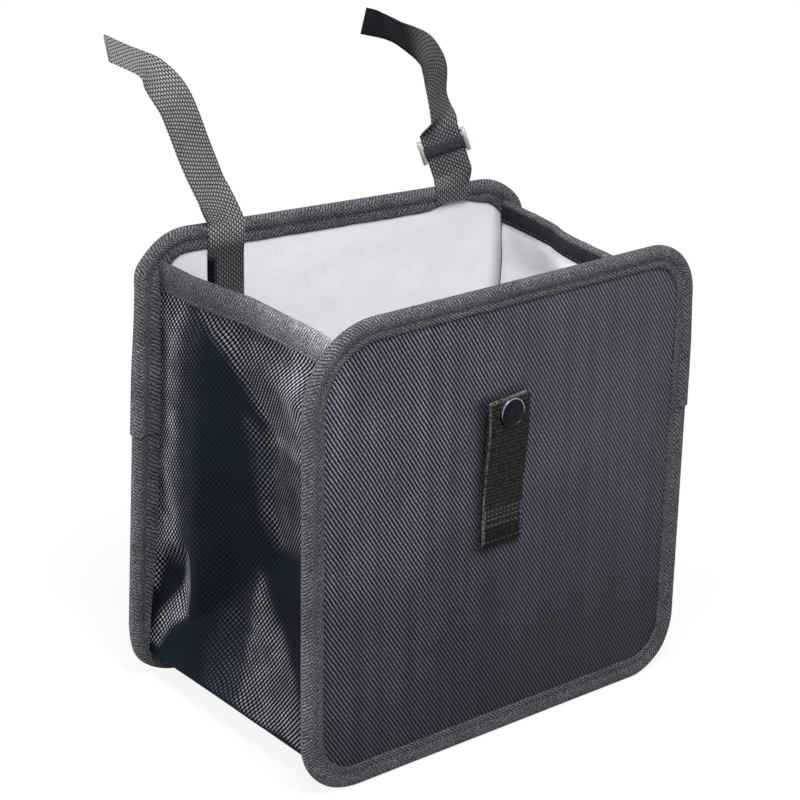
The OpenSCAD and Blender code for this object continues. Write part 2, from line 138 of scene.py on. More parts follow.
@dataclass
class Shell:
    """A closed skin: its points, its faces, and the UV of each face corner in centimetres of cloth.

    Where the last field is given, it is painted light and shade: for each point, how light the cloth's colour is
    painted there, from 0 to 1.
    """

    points: np.ndarray
    faces: list[list[int]]
    uv: np.ndarray
    painted_light: np.ndarray | None = None

    @classmethod
    def bare(cls, points: np.ndarray, faces: list[list[int]]) -> "Shell":
        """Makes a skin of plain matter, whose UV isn't used."""
        return cls(points, faces, np.zeros((sum(len(face) for face in faces), 2))).turned_out()

    def turned_out(self) -> "Shell":
        """Returns the skin with its faces pointing outwards."""
        volume = 0.0
        for face in self.faces:
            a = self.points[face[0]]
            for i in range(1, len(face) - 1):
                volume += np.dot(a, np.cross(self.points[face[i]], self.points[face[i + 1]]))
        if volume >= 0.0:
            return self
        faces, corners, start = [], [], 0
        for face in self.faces:
            count = len(face)
            faces.append(face[::-1])
            corners.append(self.uv[start:start + count][::-1])
            start += count
        return Shell(self.points, faces, np.concatenate(corners), self.painted_light)


def quads(rows: int, cols: int, wrap: bool) -> np.ndarray:
    """Corner numbers of a grid's quads, row by row; wrap joins the last column to the first."""
    r = np.arange(rows - 1)[:, None]
    c = np.arange(cols if wrap else cols - 1)[None, :]
    n = (c + 1) % cols
    return np.stack([r * cols + c, r * cols + n, (r + 1) * cols + n, (r + 1) * cols + c], -1).reshape(-1, 4)


def quad_uv(uv: np.ndarray) -> np.ndarray:
    """UV of each quad corner of a grid, in the order of quads()."""
    return np.stack([uv[:-1, :-1], uv[:-1, 1:], uv[1:, 1:], uv[1:, :-1]], 2).reshape(-1, 2)


def tube(rings: np.ndarray, along: np.ndarray, around: np.ndarray) -> Shell:
    """Closes a row of rings into a tube with flat ends.

    Args:
        rings: Points, rings by corners by 3.
        along: Length of cloth at each ring, in millimetres.
        around: Way round the ring at each corner and back at the first, in millimetres.

    Returns:
        The tube as a shell.
    """
    count, corners = rings.shape[:2]
    grid = np.stack(np.meshgrid(along, around, indexing="ij"), -1) / 10.0
    ends = [list(range(corners))[::-1], [(count - 1) * corners + i for i in range(corners)]]
    cap_uv = [grid[0, :-1][::-1], grid[-1, :-1]]
    faces = quads(count, corners, True).tolist() + ends
    return Shell(rings.reshape(-1, 3), faces, np.concatenate([quad_uv(grid)] + cap_uv)).turned_out()


def slab(outer: np.ndarray, inner: np.ndarray, uv: np.ndarray, wrap: bool = False) -> Shell:
    """Joins two grids of points into a closed sheet.

    Args:
        outer: Outer face, rows by columns by 3.
        inner: Inner face, of the same shape.
        uv: UV in millimetres, with one more column where the grid wraps.
        wrap: Whether the last column joins the first.

    Returns:
        The sheet as a shell.
    """
    rows, cols = outer.shape[:2]
    total = rows * cols
    grid = uv / 10.0
    outside = quads(rows, cols, wrap)
    inside = outside[:, ::-1] + total
    corner = quad_uv(grid)
    corner_in = corner.reshape(-1, 4, 2)[:, ::-1].reshape(-1, 2)
    if wrap:
        first = [(0, c) for c in range(cols + 1)]
        last = [(rows - 1, c) for c in range(cols, -1, -1)]
        paths = [first, last]
    else:
        paths = [[(0, c) for c in range(cols)] + [(r, cols - 1) for r in range(1, rows)]
                 + [(rows - 1, c) for c in range(cols - 2, -1, -1)] + [(r, 0) for r in range(rows - 2, -1, -1)]]
    sides, side_uv = [], []
    for path in paths:
        for (ra, ca), (rb, cb) in zip(path, path[1:]):
            a, b = ra * cols + ca % cols, rb * cols + cb % cols
            sides.append([b, a, a + total, b + total])
            side_uv += [grid[rb, cb], grid[ra, ca], grid[ra, ca], grid[rb, cb]]
    points = np.concatenate([outer.reshape(-1, 3), inner.reshape(-1, 3)])
    faces = outside.tolist() + inside.tolist() + sides
    return Shell(points, faces, np.concatenate([corner, corner_in, np.array(side_uv)])).turned_out()


def turned(profile: list[tuple[float, float]], centre: tuple[float, float, float], steps: int = 64) -> Shell:
    """Turns a profile round an axis along Y.

    Args:
        profile: Radius and place along the axis, from one pole to the other, where the radius is 0.
        centre: Place on the axis from which the profile is measured.
        steps: Points in each ring.

    Returns:
        The turned piece as a shell.
    """
    x, y, z = centre
    angles = np.linspace(0.0, math.tau, steps, endpoint=False)
    rings = [np.stack([x + r * np.cos(angles), np.full(steps, y + d), z + r * np.sin(angles)], -1)
             for r, d in profile[1:-1]]
    points = np.concatenate(rings + [[[x, y + profile[0][1], z]], [[x, y + profile[-1][1], z]]])
    faces = quads(len(rings), steps, True).tolist()
    start, end, last = len(points) - 2, len(points) - 1, (len(rings) - 1) * steps
    for i in range(steps):
        j = (i + 1) % steps
        faces += [[start, j, i], [end, last + i, last + j]]
    return Shell.bare(points, faces)


def rounded_bar(centre: np.ndarray, axes: np.ndarray, half: tuple[float, float, float], radius: float) -> Shell:
    """Makes a bar with rounded edges.

    Args:
        centre: Middle of the bar.
        axes: Its three directions, one in each row.
        half: Half of its size along each direction.
        radius: Radius of its edges.

    Returns:
        The bar as a shell.
    """
    mesh = bmesh.new()
    on_edge, on_corner = 0.707, 0.577
    turns = [(1, 0, 0), (0, 1, 0), (0, 0, 1), (on_edge, on_edge, 0), (on_edge, 0, on_edge),
             (0, on_edge, on_edge), (on_corner,) * 3]
    for sign in itertools.product((-1, 1), repeat=3):
        for turn in turns:
            local = np.array(sign) * (np.array(half) - radius + radius * np.array(turn))
            mesh.verts.new(centre + local @ axes)
    bmesh.ops.convex_hull(mesh, input=list(mesh.verts))
    for vert in [v for v in mesh.verts if not v.link_faces]:
        mesh.verts.remove(vert)
    mesh.verts.index_update()
    points = np.array([v.co for v in mesh.verts])
    faces = [[v.index for v in f.verts] for f in mesh.faces]
    mesh.free()
    return Shell.bare(points, faces)


Colour = tuple[float, float, float]
Ramp = tuple[float, ...]


def dimmed(colour: Colour, factor: float) -> Colour:
    """Returns a colour times a factor."""
    return (colour[0] * factor, colour[1] * factor, colour[2] * factor)


@dataclass(frozen=True)
class Term:
    """A value in a tree of nodes; arithmetic on it adds Math nodes."""

    nodes: "Nodes"
    socket: bpy.types.NodeSocket

    def __add__(self, other: "Term | float") -> "Term":
        """Adds the other to it."""
        return self.nodes.math("ADD", self, other)

    def __sub__(self, other: "Term | float") -> "Term":
        """Takes the other from it."""
        return self.nodes.math("SUBTRACT", self, other)

    def __rsub__(self, other: float) -> "Term":
        """Takes it from a number."""
        return self.nodes.math("SUBTRACT", other, self)

    def __mul__(self, other: "Term | float") -> "Term":
        """Multiplies it by the other."""
        return self.nodes.math("MULTIPLY", self, other)

    def __truediv__(self, other: float) -> "Term":
        """Divides it by a number."""
        return self.nodes.math("DIVIDE", self, other)

    def __pow__(self, other: float) -> "Term":
        """Raises it to a power."""
        return self.nodes.math("POWER", self, other)

    def __abs__(self) -> "Term":
        """Drops its sign."""
        return self.nodes.math("ABSOLUTE", self)


class Nodes:
    """A tree of nodes that are added one by one."""

    def __init__(self, tree: bpy.types.NodeTree) -> None:
        """Empties the tree."""
        self.tree = tree
        tree.nodes.clear()

    def add(self, kind: str, inputs: dict | None = None, **settings) -> bpy.types.Node:
        """Adds a node.

        Args:
            kind: Blender's name of the node's type.
            inputs: Terms or sockets to link and values to set, by the input's name or number.
            **settings: The node's properties.

        Returns:
            The node.
        """
        node = self.tree.nodes.new(kind)
        for key, value in settings.items():
            setattr(node, key, value)
        for key, value in (inputs or {}).items():
            if isinstance(value, Term):
                value = value.socket
            if isinstance(value, bpy.types.NodeSocket):
                self.tree.links.new(value, node.inputs[key])
            else:
                node.inputs[key].default_value = value
        return node

    def math(self, operation: str, *values) -> Term:
        """Adds a Math node and returns its result."""
        node = self.add("ShaderNodeMath", dict(enumerate(values)), operation=operation)
        return Term(self, node.outputs[0])

    def seen(self) -> Term:
        """Tells what the camera and gloss see, 1, from what lights the bag, 0."""
        rays = self.add("ShaderNodeLightPath").outputs
        seen = self.math("MAXIMUM", rays["Is Camera Ray"], rays["Is Glossy Ray"])
        return self.math("MAXIMUM", seen, rays["Is Transmission Ray"])


class Graph(Nodes):
    """The nodes of a material."""

    def __init__(self, name: str) -> None:
        """Starts an empty material of that name."""
        self.material = bpy.data.materials.new(name)
        self.material.use_nodes = True
        super().__init__(self.material.node_tree)

    def _axes(self, place: str, scale: float) -> tuple[Term, Term, Term]:
        """Returns the three coordinates of a place on the piece, each times a scale."""
        vector = self.add("ShaderNodeTexCoord").outputs[place]
        scaled = self.add("ShaderNodeVectorMath", {0: vector, "Scale": scale}, operation="SCALE")
        split = self.add("ShaderNodeSeparateXYZ", {0: scaled.outputs[0]})
        return tuple(Term(self, output) for output in split.outputs)

    def object_mm(self) -> tuple[Term, Term, Term]:
        """Returns the place on the object in millimetres."""
        return self._axes("Object", 1.0 / MM)

    def cloth_mm(self) -> tuple[Term, Term, Term]:
        """Returns the place on the cloth, along and across, in millimetres."""
        return self._axes("UV", 10.0)

    def noise(self, size: float, detail: float = 2.0) -> Term:
        """Returns soft noise from 0 to 1 whose lumps are about size millimetres."""
        place = self.add("ShaderNodeTexCoord").outputs["Object"]
        inputs = {"Vector": place, "Scale": 1.0 / (size * MM), "Detail": detail, "Roughness": 0.5}
        return Term(self, self.add("ShaderNodeTexNoise", inputs).outputs[0])

    def wobble(self, size: float, reach: float) -> Term:
        """Returns soft noise from minus to plus half a reach."""
        return (self.noise(size) - 0.5) * reach

    def painted_light(self) -> Term:
        """Returns the painted light and shade, from 0 to 1, as the piece's mesh says."""
        return Term(self, self.add("ShaderNodeAttribute", attribute_name="painted_light").outputs["Fac"])

    def blend(self, factor: Term, a: Term | Colour, b: Term | Colour, clamp: bool = True) -> Term:
        """Blends two colours by a factor."""
        a, b = ((*colour, 1.0) if isinstance(colour, tuple) else colour for colour in (a, b))
        node = self.add("ShaderNodeMix", {0: factor, 6: a, 7: b}, data_type="RGBA", clamp_factor=clamp)
        return Term(self, node.outputs[2])

    def scaled(self, colour: Term, factor: Term) -> Term:
        """Multiplies a colour by a factor."""
        node = self.add("ShaderNodeVectorMath", {0: colour, "Scale": factor}, operation="SCALE")
        return Term(self, node.outputs[0])

    def span(self, value: Term, low: float, high: float, to_low: float = 0.0, to_high: float = 1.0) -> Term:
        """Maps a value smoothly from one range to another."""
        node = self.add("ShaderNodeMapRange", {0: value, 1: low, 2: high, 3: to_low, 4: to_high},
                        interpolation_type="SMOOTHSTEP")
        return Term(self, node.outputs[0])

    def dome(self, value: Term) -> Term:
        """Gives a rounded rise and fall over each whole number of a value."""
        return self.math("SINE", self.math("FRACT", value) * math.pi)

    def finish(self, colour: Term, roughness: Term | float, height: Term, depth: float,
               **constants) -> bpy.types.Material:
        """Ends the material in a Principled shader.

        Args:
            colour: Base colour.
            roughness: Roughness.
            height: Relief from 0 to 1.
            depth: Depth of the relief in millimetres.
            **constants: Other inputs of the shader, with _ for a space.

        Returns:
            The material.
        """
        bump = self.add("ShaderNodeBump", {"Height": height, "Strength": 1.0, "Distance": depth * MM})
        inputs = {"Base Color": colour, "Roughness": roughness, "Normal": bump.outputs[0]}
        inputs.update({key.replace("_", " "): value for key, value in constants.items()})
        shader = self.add("ShaderNodeBsdfPrincipled", inputs)
        self.add("ShaderNodeOutputMaterial", {"Surface": shader.outputs[0]})
        return self.material


@dataclass(frozen=True)
class Mottle:
    """Soft noise: the size of its lumps, what its dark and light parts give, its detail, and its range."""

    size: float
    dark: float = 0.0
    light: float = 1.0
    detail: float = 2.0
    noise_range: tuple[float, float] = (0.3, 0.7)

    def on(self, g: Graph) -> Term:
        """Adds it to a material."""
        return g.span(g.noise(self.size, self.detail), *self.noise_range, self.dark, self.light)


@dataclass(frozen=True)
class TwillCloth:
    """Coarse diagonal twill of the panels, with painted light brightest towards the upper left, gaps painted paler
    towards the right and the foot, and a painted shadow round the tab.

    Each ramp gives where a change begins and ends, then the values before and after it if not 0 and 1.
    """

    # gap: the yarn's dark, deepened to near black as painted shade between the ribs
    gap: Colour = (0.003, 0.0035, 0.008)
    # painted light: the paler gap colour used towards the right and the foot
    painted_light_gap: Colour = (0.034, 0.033, 0.043)
    ridge: Colour = (0.255, 0.255, 0.325)
    pitch: float = 1.8
    normal_degrees: float = 33.0
    slow_wobble: tuple[float, float] = (26.0, 0.55)
    fine_wobble: tuple[float, float] = (3.0, 0.22)
    yarn_length: float = 3.1
    yarn_share: float = 0.12
    relief: float = 0.5
    lit: Ramp = (0.42, 1.0)
    patches: Mottle = Mottle(34.0, 0.8, 1.0, 3.0)
    specks: Mottle = Mottle(0.8, 0.62, 1.15, noise_range=(0.3, 0.72))
    stripe_w: float = 7.0
    stripe_l: float = 160.0
    stripes: Ramp = (0.3, 0.7, 0.78, 1.05)
    # painted light: the ridges dim from the upper left towards the right and the foot
    painted_light_across: Ramp = (-110.0, 75.0, 1.0, 0.55)
    painted_light_up: Ramp = (0.0, 190.0, 0.33, 1.0)
    # painted shadow of the front tab: where it begins and ends across and up, and how much it darkens
    tab_left: Ramp = (-24.0, -16.0)
    tab_right: Ramp = (8.5, 10.5, 1.0, 0.0)
    tab_low: Ramp = (97.0, 104.0)
    tab_high: Ramp = (178.0, 183.0, 1.0, 0.0)
    tab_painted_shadow: float = -0.72
    # painted light on the gaps: across, upwards, and at the foot
    gap_lift_across: Ramp = (-70.0, 90.0)
    gap_lift_up: Ramp = (0.0, 150.0, 0.6, 1.0)
    gap_lift_foot: Ramp = (10.0, 110.0, 0.2, 0.0)
    roughness: Ramp = (0.0, 1.0, 0.9, 0.55)

    def make(self) -> bpy.types.Material:
        """Builds the material."""
        g = Graph("twill_cloth")
        x, _, z = g.object_mm()
        c, s = math.cos(math.radians(self.normal_degrees)), math.sin(math.radians(self.normal_degrees))
        wobble = g.wobble(*self.slow_wobble) + g.wobble(*self.fine_wobble)
        phase = x * (c / self.pitch) + z * (s / self.pitch) + wobble
        jog = g.add("ShaderNodeTexWhiteNoise", {"W": g.math("FLOOR", phase)}, noise_dimensions="1D")
        yarn = g.dome((z * c - x * s) / self.yarn_length + jog.outputs[0])
        rise = g.dome(phase) * (yarn * self.yarn_share + (1.0 - self.yarn_share))
        stripe = g.add("ShaderNodeCombineXYZ", {0: x / self.stripe_w, 2: z / self.stripe_l})
        band = g.add("ShaderNodeTexNoise", {"Vector": stripe.outputs[0], "Scale": 1.0, "Detail": 2.0})
        # painted light, brightest at the panel's upper left
        painted_light = g.span(x, *self.painted_light_across) * g.span(z, *self.painted_light_up)
        # painted shadow over the tab's place and a little to its left; in object coordinates it darkens the back
        # panel there too
        beside = g.span(x, *self.tab_left) * g.span(x, *self.tab_right)
        beside = beside * (g.span(z, *self.tab_low) * g.span(z, *self.tab_high))
        light = g.span(rise, *self.lit) * self.patches.on(g)
        light = light * (self.specks.on(g) * (painted_light * g.span(band.outputs[0], *self.stripes)))
        light = light * (beside * self.tab_painted_shadow + 1.0)
        # painted light that pales the gaps towards the right and the foot
        gap_lift = g.span(x, *self.gap_lift_across) * g.span(z, *self.gap_lift_up)
        gap_lift = g.math("MAXIMUM", gap_lift, g.span(z, *self.gap_lift_foot))
        colour = g.blend(light, g.blend(gap_lift, self.gap, self.painted_light_gap), self.ridge)
        return g.finish(colour, g.span(light, *self.roughness), rise, self.relief, Specular_IOR_Level=0.12)


@dataclass(frozen=True)
class OxfordCloth:
    """Coated basket weave of the gussets and the base; where the mesh paints light its floats are pale, a painted
    highlight, and where it paints shade they are dark.
    """

    flat_gap: Colour = (0.0045, 0.0055, 0.0115)
    other_gap: Colour = (0.004, 0.009, 0.014)
    # deep_gap: gaps painted darker where the floats are painted light
    deep_gap: Colour = (0.0006, 0.0006, 0.003)
    shaded_float: Colour = (0.0105, 0.0115, 0.021)
    lit_float: Colour = (0.50, 0.49, 0.555)
    cell: float = 1.62
    linked: Ramp = (-45.0, 15.0, 0.37, 0.26)
    lit: Ramp = (0.4, 0.88)
    patches: Mottle = Mottle(5.0, 0.75, 1.1)
    gap_patches: Mottle = Mottle(38.0, detail=1.0, noise_range=(0.4, 0.62))
    deepening: Ramp = (0.05, 0.5)
    painted_light_curve: float = 1.3
    roughness: Ramp = (0.0, 1.0, 0.75, 0.5)
    relief: float = 0.3

    def make(self) -> bpy.types.Material:
        """Builds the material."""
        g = Graph("oxford_cloth")
        u, v, _ = g.cloth_mm()
        turn = math.pi / self.cell
        linked = g.span(g.object_mm()[1], *self.linked)
        rise = g.math("COSINE", (u - v) * turn) * linked
        rise = rise - g.math("COSINE", (u + v) * turn) * (0.5 - linked) + 0.5
        light = g.span(rise, *self.lit) * self.patches.on(g)
        # the floats' painted light and shade, from the mesh
        painted_light = g.painted_light()
        gap = g.blend(self.gap_patches.on(g), self.flat_gap, self.other_gap)
        gap = g.blend(g.span(painted_light, *self.deepening), gap, self.deep_gap)
        floats = g.blend(painted_light ** self.painted_light_curve, self.shaded_float, self.lit_float)
        shine = g.span(light * painted_light, *self.roughness)
        return g.finish(g.blend(light, gap, floats), shine, rise, self.relief, Specular_IOR_Level=0.03)


@dataclass(frozen=True)
class BindingTape:
    """Ribbed tape over the edges; its slanted ribs turn back at the fold and at the seams."""

    gap: Colour = (0.007, 0.007, 0.010)
    ridge: Colour = (0.158, 0.153, 0.171)
    seam_at: float = 9.4
    slant: tuple[float, float] = (1.82, 3.36)
    steep: tuple[float, float] = (2.24, 1.61)
    wobble: tuple[float, float] = (4.0, 1.2)
    fold: Ramp = (4.4, 5.6)
    lit: Ramp = (0.12, 0.92, 0.1, 1.1)
    specks: Mottle = Mottle(0.62, 0.28, 1.34, 1.0, (0.36, 0.64))
    patches: Mottle = Mottle(18.0, 0.8, 1.1)
    pale_ridge: Ramp = (1.5, 9.0, 1.15, 0.85)
    # painted light from the mesh: the level where none is painted, and its gain
    painted_light_base: float = 0.96
    painted_light_gain: float = 2.2
    relief: float = 0.16

    def make(self) -> bpy.types.Material:
        """Builds the material."""
        g = Graph("binding_tape")
        u, v, _ = g.cloth_mm()
        side, wobble = abs(v), g.wobble(*self.wobble)
        slant = u / self.slant[0] + side / self.slant[1]
        steep = u / self.steep[0] + abs(side - self.seam_at) / self.steep[1]
        on_fold = g.span(side, *self.fold)
        rib = g.dome(steep + wobble) * on_fold + g.dome(slant + wobble) * (1.0 - on_fold)
        light = g.span(rib, *self.lit) * self.specks.on(g)
        patch = self.patches.on(g) * g.span(side, *self.pale_ridge)
        # painted light and shade from the mesh, on the rims' tape
        patch = patch * (g.painted_light() * self.painted_light_gain + self.painted_light_base)
        colour = g.blend(light * patch, self.gap, self.ridge, clamp=False)
        return g.finish(colour, 0.8, light, self.relief, Specular_IOR_Level=0.1)


@dataclass(frozen=True)
class Webbing:
    """Strap webbing: staggered short floats, one file beside another, lit and shaded by the mesh's painted light.
    """

    gap: Colour = (0.016, 0.016, 0.019)
    shaded_float: Colour = (0.004, 0.004, 0.008)
    lit_float: Colour = (0.40, 0.395, 0.405)
    file_width: float = 1.4
    float_length: float = 2.5
    fullness: float = 0.7
    lit: Ramp = (0.2, 0.8)
    specks: Mottle = Mottle(0.7, 0.65, 1.15, 1.0)
    # gaps painted darker where the strap's painted light is low
    gap_lit_ramp: Ramp = (0.0, 0.3)
    shaded_gap_factor: float = 0.3
    relief: float = 0.35

    def make(self) -> bpy.types.Material:
        """Builds the material."""
        g = Graph("strap_webbing")
        u, v, _ = g.cloth_mm()
        file_at = v / self.file_width
        stagger = g.math("FLOORED_MODULO", g.math("FLOOR", file_at), 2.0) * 0.5
        along = u / self.float_length + stagger
        rise = g.dome(along) ** self.fullness * g.dome(file_at) ** self.fullness
        light = g.span(rise, *self.lit) * self.specks.on(g)
        # painted light and shade from the mesh
        painted_light = g.painted_light()
        floats = g.blend(painted_light, self.shaded_float, self.lit_float)
        gap = g.blend(g.span(painted_light, *self.gap_lit_ramp), dimmed(self.shaded_float, self.shaded_gap_factor), self.gap)
        return g.finish(g.blend(light, gap, floats), 0.7, rise, self.relief, Specular_IOR_Level=0.04)


@dataclass(frozen=True)
class TabWebbing:
    """Dark crosswise-ribbed webbing of the front tab, pale at its edges from rubbing, with a painted highlight
    along its fold.
    """

    gap: Colour = (0.003, 0.003, 0.0035)
    ridge: Colour = (0.031, 0.028, 0.028)
    rub_and_highlight: Colour = (0.135, 0.13, 0.125)
    pitch: float = 2.0
    wobble: tuple[float, float] = (3.0, 0.6)
    yarn: float = 0.85
    rib_share: float = 0.7
    yarn_share: float = 0.4
    lit: Ramp = (0.2, 0.95)
    specks: Mottle = Mottle(0.9, 0.05, 2.1, noise_range=(0.38, 0.64))
    box: Ramp = (144.5, 145.5, 1.0, 0.35)
    # painted highlight along the top fold: where it lies and how wide it is
    fold_at: float = 77.4
    fold: Ramp = (0.4, 1.5, 1.0, 0.0)
    one_edge: Ramp = (0.1, 1.1, 1.0, 0.0)
    other_edge: Ramp = (50.3, 50.8)
    rubs: Mottle = Mottle(1.1, 0.08, 1.0, noise_range=(0.4, 0.6))
    relief: float = 0.3

    def make(self) -> bpy.types.Material:
        """Builds the material."""
        g = Graph("tab_webbing")
        u, v, _ = g.cloth_mm()
        rib = g.dome(u / self.pitch + g.wobble(*self.wobble))
        rise = (rib * self.rib_share + (1.0 - self.rib_share))
        rise = rise * (g.dome(v / self.yarn) * self.yarn_share + (1.0 - self.yarn_share))
        light = g.span(rise, *self.lit) * self.specks.on(g) * g.span(u, *self.box)
        edge = g.math("MAXIMUM", g.span(v, *self.one_edge), g.span(v, *self.other_edge))
        # pale rubbing at the edges and painted highlight at the fold
        rub_and_highlight_share = g.math("MAXIMUM", edge, g.span(abs(u - self.fold_at), *self.fold)) * self.rubs.on(g)
        colour = g.blend(rub_and_highlight_share, g.blend(light, self.gap, self.ridge), self.rub_and_highlight)
        return g.finish(colour, 0.7, rise, self.relief, Specular_IOR_Level=0.07)


@dataclass(frozen=True)
class LiningFilm:
    """Pale coated lining with soft wrinkles, with painted shade at the bag's left end and in its right corner."""

    name: str = "lining_film"
    pale: Colour = (0.765, 0.775, 0.80)
    shade: Colour = (0.71, 0.725, 0.755)
    # corner: how dark the painted shade in the right corner gets
    corner: float = 0.42
    patches: Mottle = Mottle(40.0, detail=3.0, noise_range=(0.35, 0.65))
    left_end_shade: Ramp = (-112.0, -55.0, 0.74, 1.0)
    corner_shade_from: float = 97.0
    corner_shade_to: float = 107.5
    corner_shade_lean: float = 0.0454
    wrinkle: float = 14.0
    grain: float = 0.9
    grain_share: float = 0.05
    gloss: Mottle = Mottle(9.0, 0.42, 0.55)
    relief: float = 0.7

    def make(self) -> bpy.types.Material:
        """Builds the material."""
        g = Graph(self.name)
        x, _, z = g.object_mm()
        # painted shade towards the bag's left end and in a leaning band at its right end
        beside = x - z * self.corner_shade_lean
        painted_shade = g.span(x, *self.left_end_shade) * g.span(beside, self.corner_shade_from, self.corner_shade_to, 1.0, self.corner)
        colour = g.scaled(g.blend(self.patches.on(g), self.shade, self.pale), painted_shade)
        wrinkles = g.noise(self.wrinkle, 3.0) + g.noise(self.grain, 1.0) * self.grain_share
        return g.finish(colour, self.gloss.on(g), wrinkles, self.relief, Specular_IOR_Level=0.4)


@dataclass(frozen=True)
class PlainMatter:
    """A mottled plain material, for the boards, thread, and metal or enamel parts; where asked, painted shade
    darkens it below a height.
    """

    name: str
    base: Colour
    other: Colour
    lump: float = 2.0
    roughness: tuple[float, float] = (0.6, 0.7)
    metallic: float = 0.0
    relief: float = 0.05
    specular: float = 0.3
    # painted shade below a height: where it begins and ends, and how dark it gets
    painted_shade_below: Ramp | None = None
    dark: float = 0.06

    def make(self) -> bpy.types.Material:
        """Builds the material."""
        g = Graph(self.name)
        colour = g.blend(Mottle(self.lump, detail=3.0).on(g), self.base, self.other)
        # painted shade below the given height
        if self.painted_shade_below is not None:
            colour = g.blend(g.span(g.object_mm()[2], *self.painted_shade_below), dimmed(self.base, self.dark), colour)
        return g.finish(colour, Mottle(self.lump * 0.6, *self.roughness).on(g), g.noise(self.lump * 0.3),
                        self.relief, Metallic=self.metallic, Specular_IOR_Level=self.specular)


@dataclass(frozen=True)
class Finishes:
    """All the finishes of the bag, made once."""

    twill: bpy.types.Material
    oxford: bpy.types.Material
    tape: bpy.types.Material
    webbing: bpy.types.Material
    tab: bpy.types.Material
    lining: bpy.types.Material
    side_lining_painted_bright: bpy.types.Material
    board: bpy.types.Material
    thread: bpy.types.Material
    pale_thread: bpy.types.Material
    nickel: bpy.types.Material
    bar: bpy.types.Material
    enamel: bpy.types.Material
    ring: bpy.types.Material

    @classmethod
    def mix_all(cls) -> "Finishes":
        """Builds every material."""
        kinds = {
            "twill": TwillCloth(), "oxford": OxfordCloth(), "tape": BindingTape(),
            "webbing": Webbing(), "tab": TabWebbing(), "lining": LiningFilm(),
            # a copy of the lining painted brighter, as painted light, for the right gusset and the base, without
            # the corner shade
            "side_lining_painted_bright": LiningFilm("side_lining_film", (0.92, 0.91, 0.93), (0.85, 0.84, 0.87), corner=1.0),
            "board": PlainMatter("board", (0.48, 0.46, 0.40), (0.42, 0.40, 0.35), lump=6.0,
                                 roughness=(0.7, 0.8)),
            "thread": PlainMatter("thread", (0.05, 0.048, 0.05), (0.10, 0.095, 0.10), lump=0.8),
            "pale_thread": PlainMatter("pale_thread", (0.075, 0.068, 0.068), (0.15, 0.138, 0.135), lump=0.9,
                                       specular=0.15),
            "nickel": PlainMatter("nickel", (0.66, 0.61, 0.61), (0.54, 0.50, 0.51), roughness=(0.28, 0.42),
                                  metallic=1.0, relief=0.03),
            "bar": PlainMatter("slider_bar", (0.022, 0.022, 0.032), (0.040, 0.040, 0.052), lump=1.5,
                               roughness=(0.5, 0.65), specular=0.15),
            "enamel": PlainMatter("snap_enamel", (0.003, 0.004, 0.010), (0.006, 0.008, 0.017),
                                  roughness=(0.3, 0.42), relief=0.02, specular=0.07),
            # the snap ring's lower half gets painted shade
            "ring": PlainMatter("snap_ring", (0.52, 0.50, 0.47), (0.40, 0.385, 0.365), roughness=(0.22, 0.34),
                                metallic=1.0, relief=0.02, painted_shade_below=(170.5, 175.5))}
        return cls(**{name: kind.make() for name, kind in kinds.items()})

def build(name: str, parts: list[tuple[Shell, bpy.types.Material]], body: str, replaces: tuple[str, ...],
          sharp: float = 50.0) -> bpy.types.Object:
    """Makes one object of finished shells and puts it on its body.

    Args:
        name: Name of the piece.
        parts: Shells with their materials.
        body: Body that the piece rides on.
        replaces: CAD nodes that it stands for.
        sharp: Edges that turn by more degrees than this stay sharp.

    Returns:
        The object.
    """
    materials, points, faces, uvs, slots, painted_light = [], [], [], [], [], []
    start = 0
    for shell, material in parts:
        if material not in materials:
            materials.append(material)
        points.append(shell.points)
        faces += [[i + start for i in face] for face in shell.faces]
        uvs.append(shell.uv)
        slots += [materials.index(material)] * len(shell.faces)
        painted_light.append(np.zeros(len(shell.points)) if shell.painted_light is None else shell.painted_light)
        start += len(shell.points)
    mesh = bpy.data.meshes.new(name)
    mesh.from_pydata((np.concatenate(points) * MM).tolist(), [], faces)
    layer = mesh.uv_layers.new(name="cloth")
    layer.data.foreach_set("uv", np.concatenate(uvs).astype(np.float32).ravel())
    # painted light and shade is stored on the mesh as a point attribute
    if any(shell.painted_light is not None for shell, _ in parts):
        painted_light_at = mesh.attributes.new("painted_light", "FLOAT", "POINT")
        painted_light_at.data.foreach_set("value", np.concatenate(painted_light).astype(np.float32))
    for material in materials:
        mesh.materials.append(material)
    mesh.polygons.foreach_set("material_index", slots)
    mesh.polygons.foreach_set("use_smooth", [True] * len(faces))
    mesh.update()
    mesh.set_sharp_from_angle(angle=math.radians(sharp))
    piece = bpy.data.objects.new(name, mesh)
    bpy.context.scene.collection.objects.link(piece)
    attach(piece, body)
    if replaces:
        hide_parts(*replaces)
    LOG.info("%s: %d faces", name, len(faces))
    return piece


class Face(Enum):
    """The two stiff panels."""

    FRONT = "front"
    BACK = "back"


class Side(Enum):
    """The two gussets, by the sign of their place along X."""

    LEFT = -1
    RIGHT = 1


